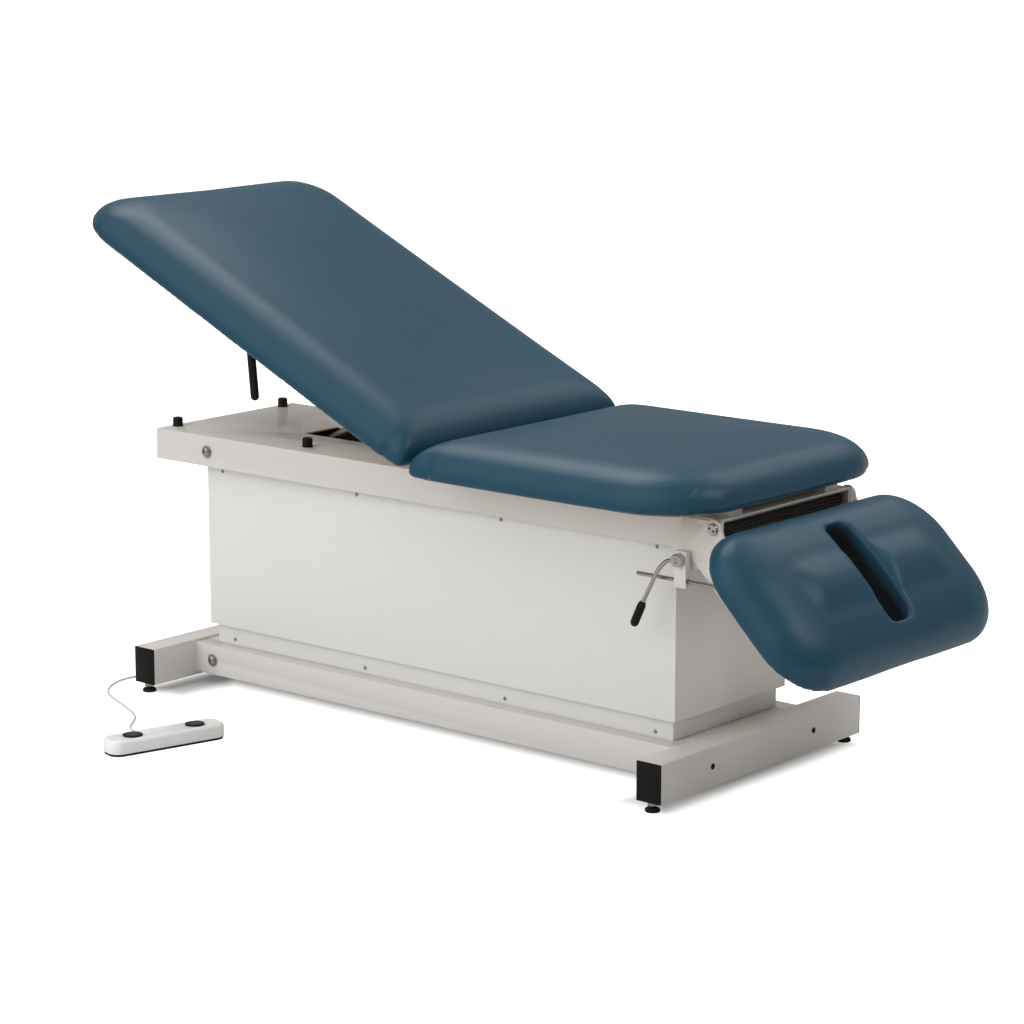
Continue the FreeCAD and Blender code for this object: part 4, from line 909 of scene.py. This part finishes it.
@dataclass
class Base(Assembly):
    """The floor frame with its caps, feet, pan and control box.

    The edge of a foot's pad counts inward from its radius.
    """

    refinements: Sequence[tuple[Finish, float, str]] = (
        (Finish.BASE_PAINT, 2.0, "base_cross_tubes"),
        (Finish.BASE_PAINT, 1.2, "base_rails"),
        (Finish.BLACK_PLASTIC, 1.2, "tube_end_caps"),
        (Finish.SHROUD_PAINT, 0.5, "lower_shroud"),
        (Finish.BASE_PAINT, 0.5, "floor_pan"),
        (Finish.BLACK_PLASTIC, 1.5, "control_box"),
        (Finish.BLACK_PLASTIC, 0.5, "mains_inlet"),
        (Finish.BLACK_PLASTIC, 1.0, "cord_gland"),
        (Finish.ZINC, 0.6, "foot_lock_nuts"),
    )
    feet: tuple[str, ...] = ("head_near", "head_far", "foot_near", "foot_far")
    pad_edge: Profile = ((1.2, 0), (0, 1.2), (0, 5), (1.5, 6.6))
    neck_share: float = 0.62
    neck_height: float = 8.2
    stem_foot: Pair = (6.2, 9)
    thread: Profile = ((4.55, 0), (5, 0.6))
    thread_start: float = 9.6
    thread_pitch: float = 1.5
    plain_top: float = 2.0
    stem_top: Profile = ((4.4, -0.6), (4, 0), (0, 0))
    plug: Profile = ((0, 0), (5.6, 0), (5.6, 0.7), (4.8, 1.4), (0, 1.7))
    plug_across: float = 160.0 * MM
    plug_height: float = 57.0 * MM

    def build(self) -> None:
        """Make the base."""
        self.refine()
        for name in self.feet:
            self.build_foot(f"levelling_foot_{name}")
        self.build_plugs()

    def build_foot(self, node: str) -> None:
        """Make a levelling foot with its pad and thread.

        Args:
            node: The foot's node.
        """
        low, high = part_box(node)
        centre = (low + high) / 2
        radius = (high.x - low.x) / 2 / MM
        tall = (high.z - low.z) / MM
        profile = [(0, 0), *((radius - inset, height) for inset, height in self.pad_edge)]
        profile += [(radius * self.neck_share, self.neck_height), self.stem_foot]
        height = self.thread_start
        while height < tall - self.plain_top:
            profile += raised(self.thread, height)
            height += self.thread_pitch
        profile += raised(self.stem_top, tall)
        foot = lathe(f"{node}_turned", profile, (centre.x, centre.y, low.z), UP, 32)
        self.settle(foot, Finish.BLACK_RUBBER, node)

    def build_plugs(self) -> None:
        """Make the small black hole plugs in the outer faces of the cross tubes."""
        low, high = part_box("base_cross_tubes")
        plugs = []
        for face, sign in ((low.x, -1.0), (high.x, 1.0)):
            for across in (-self.plug_across, self.plug_across):
                plugs.append(lathe("plug", self.plug, (face, across, self.plug_height), (sign, 0, 0), 28))
        self.settle(joined("tube_plugs", plugs), Finish.BLACK_PLASTIC, "base_cross_tubes", stands_for=False)


# Fasteners

@dataclass
class Fasteners(Assembly):
    """The visible bolts and screws.

    A pair of pivot bolts has how far out the face lies that they sit on, in metres, and its shank's length in
    millimetres. A row of screws has the place of its face, its first screw and the distance to the next.
    """

    pivots: tuple[tuple[str, float, float], ...] = (
        ("lower_pivot_bolts", 196.0 * MM, 60.0), ("upper_pivot_bolts", 201.0 * MM, 73.0))
    washer: Profile = ((6.5, 0), (13, 0), (13, 1.6), (12.3, 2.2), (6.5, 2.2), (6.5, 0))
    dome: Profile = ((0, -1), (6, -1), (9.6, 2), (9.8, 3.4), (8.9, 5.8), (6.4, 7.4), (4.2, 7.9), (4.0, 5.6),
                     (0, 5.6))
    shank_radius: float = 6.0
    screw_rows: tuple[tuple[str, float, float, float], ...] = (
        ("lower_shroud_screws", 162.0 * MM, -542.0 * MM, 363.7 * MM),
        ("upper_shroud_screws", 173.7 * MM, -558.0 * MM, 372.0 * MM))
    screw: Profile = ((0, -0.2), (4, -0.2), (4, 0.5), (3.4, 1.3), (2.2, 1.75), (0, 1.9))
    screws_in_row: int = 4
    cross: Triple = (4.2 * MM, 2.4 * MM, 0.9 * MM)
    cross_depth: float = 1.9 * MM
    first_turn: float = 0.5
    next_turn: float = 0.9
    hinge_centre: Triple = (0.712, -0.2125, 0.511)
    cap: Profile = ((0, -11.5), (6, -11.5), (6, 0), (10.6, 0), (11, 0.8), (11, 3.6), (9.8, 5.2), (7.6, 5.5),
                    (0, 5.7))
    # A thin black disc on the cap: painted shade in one of its holes.
    spot: Profile = ((0, 0), (2.1, 0), (2.1, 0.45), (1.6, 0.6), (0, 0.3))
    hole_shade_shift: Triple = (4.2 * MM, -5.4 * MM, -2.2 * MM)
    clamp_bolt: Profile = ((0, 0), (4, 0), (4, 33.3), (3.2, 34), (0, 34))
    clamp_bolt_place: Triple = (0.650, -0.206, 0.450)
    plate_screw: Profile = ((0, -0.5), (3.6, -0.5), (3.6, 0.6), (2.6, 1.4), (1.4, 1.6), (1.4, 0.8), (0, 0.8))
    plate_screw_place: Triple = (-0.712, 0.005, 0.527)

    def build(self) -> None:
        """Make every visible fastener."""
        for pivot in self.pivots:
            self.build_pivot_bolts(*pivot)
        for row in self.screw_rows:
            self.build_screws(*row)
        self.build_hinge_caps()
        self.build_plate_screw()

    def build_pivot_bolts(self, node: str, face: float, shank_length: float) -> None:
        """Make a washer and a domed bolt head on each side, with the shank behind.

        Args:
            node: The node of the bolts.
            face: How far out the face lies that they sit on.
            shank_length: The shank's length in millimetres.
        """
        low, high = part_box(node)
        centre = (low + high) / 2
        place = Vector((centre.x, -face, centre.z))
        rod = [(0, 0), (self.shank_radius, 0), (self.shank_radius, shank_length), (0, shank_length)]
        pieces = [lathe("washer", self.washer, place, TOWARDS_NEAR),
                  lathe("dome", self.dome, place, TOWARDS_NEAR),
                  lathe("shank", rod, place, TOWARDS_FAR, 24)]
        near = joined(f"{node}_near", pieces)
        far = copied(near, f"{node}_far", MIRROR_ACROSS)
        self.settle(joined(f"{node}_turned", [near, far]), Finish.ZINC, node)

    def build_screws(self, node: str, face: float, first: float, pitch: float) -> None:
        """Make the rows of cross-head screws on both long sides of a shroud.

        Args:
            node: The node of the screws.
            face: How far out the sheet lies.
            first: Place of the first screw along the table.
            pitch: Distance to the next.
        """
        low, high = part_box(node)
        height = (low.z + high.z) / 2
        head = lathe("screw", self.screw, (0, 0, 0), TOWARDS_NEAR, 28)
        for size in (self.cross, self.cross[::-1]):
            bpy.ops.mesh.primitive_cube_add(size=1.0, location=(0, -self.cross_depth, 0), scale=size)
            cutter = added("cross")
            finish_with(head, "BOOLEAN", {"operation": "DIFFERENCE", "object": cutter, "solver": "EXACT"})
            bpy.data.objects.remove(cutter)
        screws = []
        for index in range(self.screws_in_row):
            place = Matrix.Translation((first + pitch * index, -face, height))
            turn = Matrix.Rotation(self.first_turn + self.next_turn * index, 4, "Y")
            near = copied(head, "screw_near", place @ turn)
            screws += [near, copied(near, "screw_far", MIRROR_ACROSS)]
        bpy.data.objects.remove(head)
        self.settle(joined(f"{node}_turned", screws), Finish.ZINC, node)

    def build_hinge_caps(self) -> None:
        """Make the chrome caps of the drop hinge, with black discs as painted shade in their two small holes,
        and the clamp's bolt.
        """
        centre = Vector(self.hinge_centre)
        cap = lathe("cap", self.cap, centre, TOWARDS_NEAR)
        # The cap's two holes are black discs: painted shade.
        holes = []
        along, out, up = self.hole_shade_shift
        for side in (-1, 1):
            spot = centre + Vector((side * along, out, side * up))
            holes.append(lathe("spot", self.spot, spot, TOWARDS_NEAR, 20))
        pieces = [cap, copied(cap, "cap_far", MIRROR_ACROSS),
                  lathe("clamp_bolt", self.clamp_bolt, self.clamp_bolt_place, TOWARDS_NEAR, 28)]
        self.settle(joined("hinge_caps", pieces), Finish.CHROME, "drop_hinge_bolts")
        hole_shades = joined("hinge_cap_spots", holes + [copied(hole, "spot_far", MIRROR_ACROSS) for hole in holes])
        self.settle(hole_shades, Finish.BLACK_PLASTIC, "drop_hinge_bolts", stands_for=False)

    def build_plate_screw(self) -> None:
        """Make the small screw near the head end of the top plate."""
        screw = lathe("plate_screw", self.plate_screw, self.plate_screw_place, UP, 28)
        self.settle(screw, Finish.ZINC, "top_frame_tray", stands_for=False)


# Hardware of the back and drop sections

@dataclass
class BackHardware(Assembly):
    """Rails, prop, bracket and release lever under the back section."""

    refinements: Sequence[tuple[Finish, float, str]] = (
        (Finish.ZINC, 0.6, "back_rails prop_bracket"),
        (Finish.ZINC, 0.8, "back_prop"),
        (Finish.ZINC, 0.5, "release_bracket"),
        (Finish.BLACK_RUBBER, 0.8, "release_lever"),
    )

    def build(self) -> None:
        """Make the hardware of the back section."""
        self.refine()


@dataclass
class DropHardware(Assembly):
    """Arms, clamp rod, block, lever and ribbed grip of the drop section.

    A rib's profile counts inward from the grip's radius, and its heights are shares of the pitch.
    """

    refinements: Sequence[tuple[Finish, float, str]] = (
        (Finish.FRAME_PAINT, 0.8, "drop_arms"),
        (Finish.CHROME, 0.8, "clamp_rod"),
        (Finish.CLAMP_WHITE, 1.5, "clamp_block"),
        (Finish.CHROME, 0.8, "clamp_lever"),
    )
    radius: float = 8.0
    length: float = 52.0
    lean: Triple = (-0.415, 0.0, -0.91)
    collar: Profile = ((0, 0), (5.4, 0), (6.4, 0.8), (6.8, 4), (8, 7))
    ribs: int = 9
    rib: Profile = ((0, 0), (0, 0.55), (0.9, 0.65), (0.9, 0.9))
    ribs_start: float = 8.0
    ribs_end: float = 40.0
    end_steps: int = 6

    def build(self) -> None:
        """Make the hardware of the drop section."""
        self.refine()
        self.build_grip()

    def build_grip(self) -> None:
        """Make the ribbed rubber grip of the clamp lever."""
        low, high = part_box("clamp_lever_grip")
        lean = Vector(self.lean).normalized()
        radius = self.radius * MM
        end = Vector((low.x + radius, (low.y + high.y) / 2, low.z + radius))
        start = end - lean * (self.length - self.radius) * MM
        profile = list(self.collar)
        pitch = (self.ribs_end - self.ribs_start) / self.ribs
        for index in range(self.ribs):
            profile += [(self.radius - inset, self.ribs_start + pitch * (index + share))
                        for inset, share in self.rib]
        profile.append((self.radius, self.ribs_end))
        profile += domed(self.radius, self.length - self.radius, self.radius, self.end_steps)
        grip = lathe("clamp_grip_ribbed", profile, start, lean, 36)
        self.settle(grip, Finish.BLACK_RUBBER, "clamp_lever_grip")


# Foot control

CORD_POINTS = [
    (-0.3784, -0.581, 0.015), (-0.4132, -0.5717, 0.015), (-0.447, -0.55, 0.01), (-0.478, -0.519, 0.0045),
    (-0.504, -0.483, 0.0026), (-0.535, -0.455, 0.0025), (-0.576, -0.434, 0.0026), (-0.622, -0.413, 0.0025),
    (-0.668, -0.394, 0.0026), (-0.706, -0.371, 0.0025), (-0.737, -0.334, 0.0026), (-0.757, -0.288, 0.0025),
    (-0.754, -0.241, 0.0026), (-0.733, -0.203, 0.0025), (-0.715, -0.161, 0.0026), (-0.708, -0.118, 0.0025),
    (-0.694, -0.082, 0.0026), (-0.664, -0.059, 0.0025), (-0.629, -0.049, 0.004), (-0.606, -0.046, 0.02),
    (-0.594, -0.046, 0.041), (-0.574, -0.046, 0.055), (-0.552, -0.046, 0.055),
]


@dataclass
class FootControl(Assembly):
    """The two-button foot control with its cord.

    The rim's top and the dome's foot count from the button's top. Places are in metres, profiles in
    millimetres, the angle is in degrees.
    """

    refinements: Sequence[tuple[Finish, float, str]] = (
        (Finish.CONTROL_WHITE, 0.7, "foot_control_housing"),
        (Finish.BLACK_RUBBER, 1.0, "foot_control_base"),
    )
    angle: float = 75.0
    centre: Pair = (-0.334, -0.566)
    button_pitch: float = 0.1356
    rim_foot: Profile = ((0, 0), (18.4, 0), (19, 0.6))
    rim_top: Profile = ((19, -2.6), (18.3, -1.6), (16.4, -1), (14.8, -1.2), (14.2, -2), (0, -2))
    dome_foot: Profile = ((0, -2), (13.9, -2), (13.9, -1.2))
    dome_rise: float = 1.2
    dome_steps: int = 7
    spout: Triple = (-0.026, 0.0385, 0.015)
    relief_foot: Profile = ((2.3, 0), (4.1, 0))
    relief_ring: Profile = ((4.1, 0.5), (4, 2.5), (3.2, 2.8), (3.2, 3.6))
    relief_rings: int = 5
    relief_pitch: float = 3.4
    relief_taper: float = 0.3
    relief_end: Profile = ((2.5, 17.5), (2.3, 17.5), (2.3, 0))
    cord_diameter: float = 0.0045

    def build(self) -> None:
        """Make the foot control."""
        self.refine()
        for node, sign in (("lower_button", -1.0), ("raise_button", 1.0)):
            self.build_button(node, sign)
        self.build_relief()
        self.build_cord()

    def axes(self) -> tuple[Vector, Vector]:
        """Find how the foot control lies.

        Returns:
            The directions along it and out of its far side.
        """
        turn = math.radians(self.angle)
        along = Vector((math.cos(turn), math.sin(turn), 0))
        return along, Vector((-along.y, along.x, 0))

    def build_button(self, node: str, sign: float) -> None:
        """Make one button: a black rim with a domed middle.

        Args:
            node: The button's node.
            sign: Which end of the control it is at.
        """
        low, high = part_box(node)
        along, _ = self.axes()
        place = Vector((*self.centre, low.z)) + along * sign * self.button_pitch / 2
        tall = (high.z - low.z) / MM
        rim = lathe(f"{node}_rim", [*self.rim_foot, *raised(self.rim_top, tall)], place, UP, 48)
        self.settle(rim, Finish.BLACK_PLASTIC, node)
        radius, foot = self.dome_foot[-1]
        dome = raised(self.dome_foot, tall) + domed(radius, tall + foot, self.dome_rise, self.dome_steps)
        middle = lathe(f"{node}_dome", dome, place, UP, 48)
        self.settle(middle, Finish.BUTTON, node, stands_for=False)

    def build_relief(self) -> None:
        """Make the tapered strain relief round the cord where it leaves the control."""
        along, out = self.axes()
        at, side, height = self.spout
        base = Vector((*self.centre, height)) + along * at + out * side
        profile = list(self.relief_foot)
        for index in range(self.relief_rings):
            profile += [(radius - self.relief_taper * index, level + self.relief_pitch * index)
                        for radius, level in self.relief_ring]
        relief = lathe("control_strain_relief", profile + list(self.relief_end), base, out, 28)
        self.settle(relief, Finish.CORD, "foot_control_housing", stands_for=False)

    def build_cord(self) -> None:
        """Make the cord from the control to the box under the lift."""
        curve = bpy.data.curves.new("control_cord", "CURVE")
        curve.dimensions = "3D"
        spline = curve.splines.new("NURBS")
        spline.points.add(len(CORD_POINTS) - 1)
        for point, place in zip(spline.points, CORD_POINTS):
            point.co = (*place, 1.0)
        spline.order_u = 3
        spline.use_endpoint_u = True
        spline.resolution_u = 10
        curve.bevel_depth = self.cord_diameter / 2
        curve.bevel_resolution = 5
        curve.use_fill_caps = True
        cord = bpy.data.objects.new("control_cord", curve)
        bpy.context.scene.collection.objects.link(cord)
        self.settle(cord, Finish.CORD, "foot_control_cord")


# Studio

@dataclass(frozen=True)
class Lamp:
    """One soft box, which shows in shiny surfaces only where it is mirrored."""

    name: str
    place: Triple
    size: float
    power: float
    aim: Triple = (0.0, 0.0, 0.5)
    mirrored: bool = True


@dataclass
class Studio:
    """Floor, background, lamps and camera."""

    camera_place: Triple = (3.9877, -4.6514, 1.6799)
    camera_turn: Triple = (1.3671, 0.0, 0.70043)
    lens: float = 111.6
    sensor: float = 36.0
    farthest: float = 200.0
    low_light: float = 0.27
    high_light: float = 0.5
    floor_size: float = 120.0
    floor_colour: float = 0.72
    # Glow of the floor for the camera, close to the base and away from it; the lower glow close to the base
    # is painted shade.
    floor_glow_and_base_shade: Pair = (0.1, 1.0)
    under_lift: Pair = (0.56, 0.10)
    under_tube: Triple = (0.62, 0.012, 0.25)
    base_shade_reach: float = 0.10
    overhead: float = 0.95
    overhead_aim: Triple = (0.25, 1.0, -0.95)
    overhead_spread: float = 70.0
    lamps: list[Lamp] = field(default_factory=lambda: [
        Lamp("top_box", (-1.75, 0.9, 4.0), 2.0, 50.0, (0.0, 0.0, 0.5)),
        Lamp("rear_box", (0.5, 2.8, 3.3), 2.2, 18.0, (0.3, 0.0, 0.5)),
        Lamp("end_box", (3.1, 0.8, 2.9), 1.4, 22.0, (0.5, 0.0, 0.4)),
        Lamp("front_fill", (-1.8, -6.0, 2.4), 5.0, 112.0, (0.0, 0.0, 0.5), mirrored=False),
    ])

    def build(self) -> None:
        """Make the studio."""
        self.build_world()
        self.build_floor()
        self.build_overhead()
        for lamp in self.lamps:
            self.build_lamp(lamp)
        self.build_camera()

    def build_world(self) -> None:
        """Make the studio's walls and ceiling, dim near the floor and bright above."""
        world = bpy.data.worlds.new("studio")
        bpy.context.scene.world = world
        world.use_nodes = True
        sheet = NodeSheet(world.node_tree)
        place = sheet.add("ShaderNodeTexCoord")
        parts = sheet.add("ShaderNodeSeparateXYZ", {}, {0: place.outputs["Generated"]})
        light = sheet.add("ShaderNodeMapRange", {}, {"Value": parts.outputs["Z"], "To Min": self.low_light,
                                                     "To Max": self.high_light})
        shine = sheet.add("ShaderNodeBackground", {}, {"Color": WHITE, "Strength": light.outputs[0]})
        sheet.add("ShaderNodeOutputWorld", {}, {"Surface": shine.outputs[0]})

    def build_floor(self) -> None:
        """Make the pale floor, which takes the table's shadow close to its base. It glows for the camera,
        less close to the lift and the tubes, which keeps it darker there: painted shade.
        """
        bpy.ops.mesh.primitive_plane_add(size=self.floor_size, location=(0, 0, 0))
        floor = added("floor")
        sheet = ShaderSheet("pale_floor")
        parts = sheet.add("ShaderNodeSeparateXYZ", {}, {0: sheet.coordinates})
        along = abs(Wire(sheet, parts.outputs[0]))
        across = abs(Wire(sheet, parts.outputs[1]))
        from_lift = (along - self.under_lift[0]).most(across - self.under_lift[1])
        tube_at, tube_half, tube_end = self.under_tube
        from_tube = (abs(along - tube_at) - tube_half).most(across - tube_end)
        # The floor glows less close to the lift and the tubes: painted shade under the table.
        glow_with_base_shade = sheet.add("ShaderNodeMapRange", {"interpolation_type": "SMOOTHSTEP"},
                         {"Value": from_lift.least(from_tube), "From Min": 0.0, "From Max": self.base_shade_reach,
                          "To Min": self.floor_glow_and_base_shade[0], "To Max": self.floor_glow_and_base_shade[1]})
        colour = (self.floor_colour,) * 3 + (1.0,)
        matte = sheet.add("ShaderNodeBsdfDiffuse", {}, {"Color": colour})
        path = sheet.add("ShaderNodeLightPath")
        lit = Wire(sheet, path.outputs["Is Camera Ray"]) * Wire(sheet, glow_with_base_shade.outputs[0])
        shine = sheet.add("ShaderNodeEmission", {}, {"Color": WHITE, "Strength": lit})
        both = sheet.add("ShaderNodeAddShader", {}, {0: matte.outputs[0], 1: shine.outputs[0]})
        sheet.add("ShaderNodeOutputMaterial", {}, {"Surface": both.outputs[0]})
        floor.data.materials.append(sheet.material)

    def build_overhead(self) -> None:
        """Hang the even light of the ceiling."""
        data = bpy.data.lights.new("overhead", "SUN")
        data.energy = self.overhead
        data.angle = math.radians(self.overhead_spread)
        light = bpy.data.objects.new("overhead", data)
        light.rotation_euler = Vector(self.overhead_aim).to_track_quat("-Z", "Y").to_euler()
        bpy.context.scene.collection.objects.link(light)

    def build_lamp(self, lamp: Lamp) -> None:
        """Hang one soft box and aim it.

        Args:
            lamp: The soft box.
        """
        data = bpy.data.lights.new(lamp.name, "AREA")
        data.shape = "SQUARE"
        data.size = lamp.size
        data.energy = lamp.power
        box = bpy.data.objects.new(lamp.name, data)
        box.location = lamp.place
        box.visible_glossy = lamp.mirrored
        box.rotation_euler = (Vector(lamp.aim) - Vector(lamp.place)).to_track_quat("-Z", "Y").to_euler()
        bpy.context.scene.collection.objects.link(box)

    def build_camera(self) -> None:
        """Set the camera where the photographer stood."""
        data = bpy.data.cameras.new("camera")
        data.lens = self.lens
        data.sensor_width = self.sensor
        data.clip_end = self.farthest
        camera = bpy.data.objects.new("camera", data)
        camera.location = self.camera_place
        camera.rotation_euler = self.camera_turn
        bpy.context.scene.collection.objects.link(camera)
        bpy.context.scene.camera = camera


def main() -> None:
    """Build every sub-assembly of the table, then the studio."""
    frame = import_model()
    bpy.context.scene.view_settings.view_transform = "Standard"
    for part in (Padding, TableFrame, Lift, Base, Fasteners, BackHardware, DropHardware, FootControl):
        LOG.info("building %s", part.__name__)
        part(frame).build()
    Studio().build()


if __name__ == "__main__":
    logging.basicConfig(level=logging.INFO)
    main()
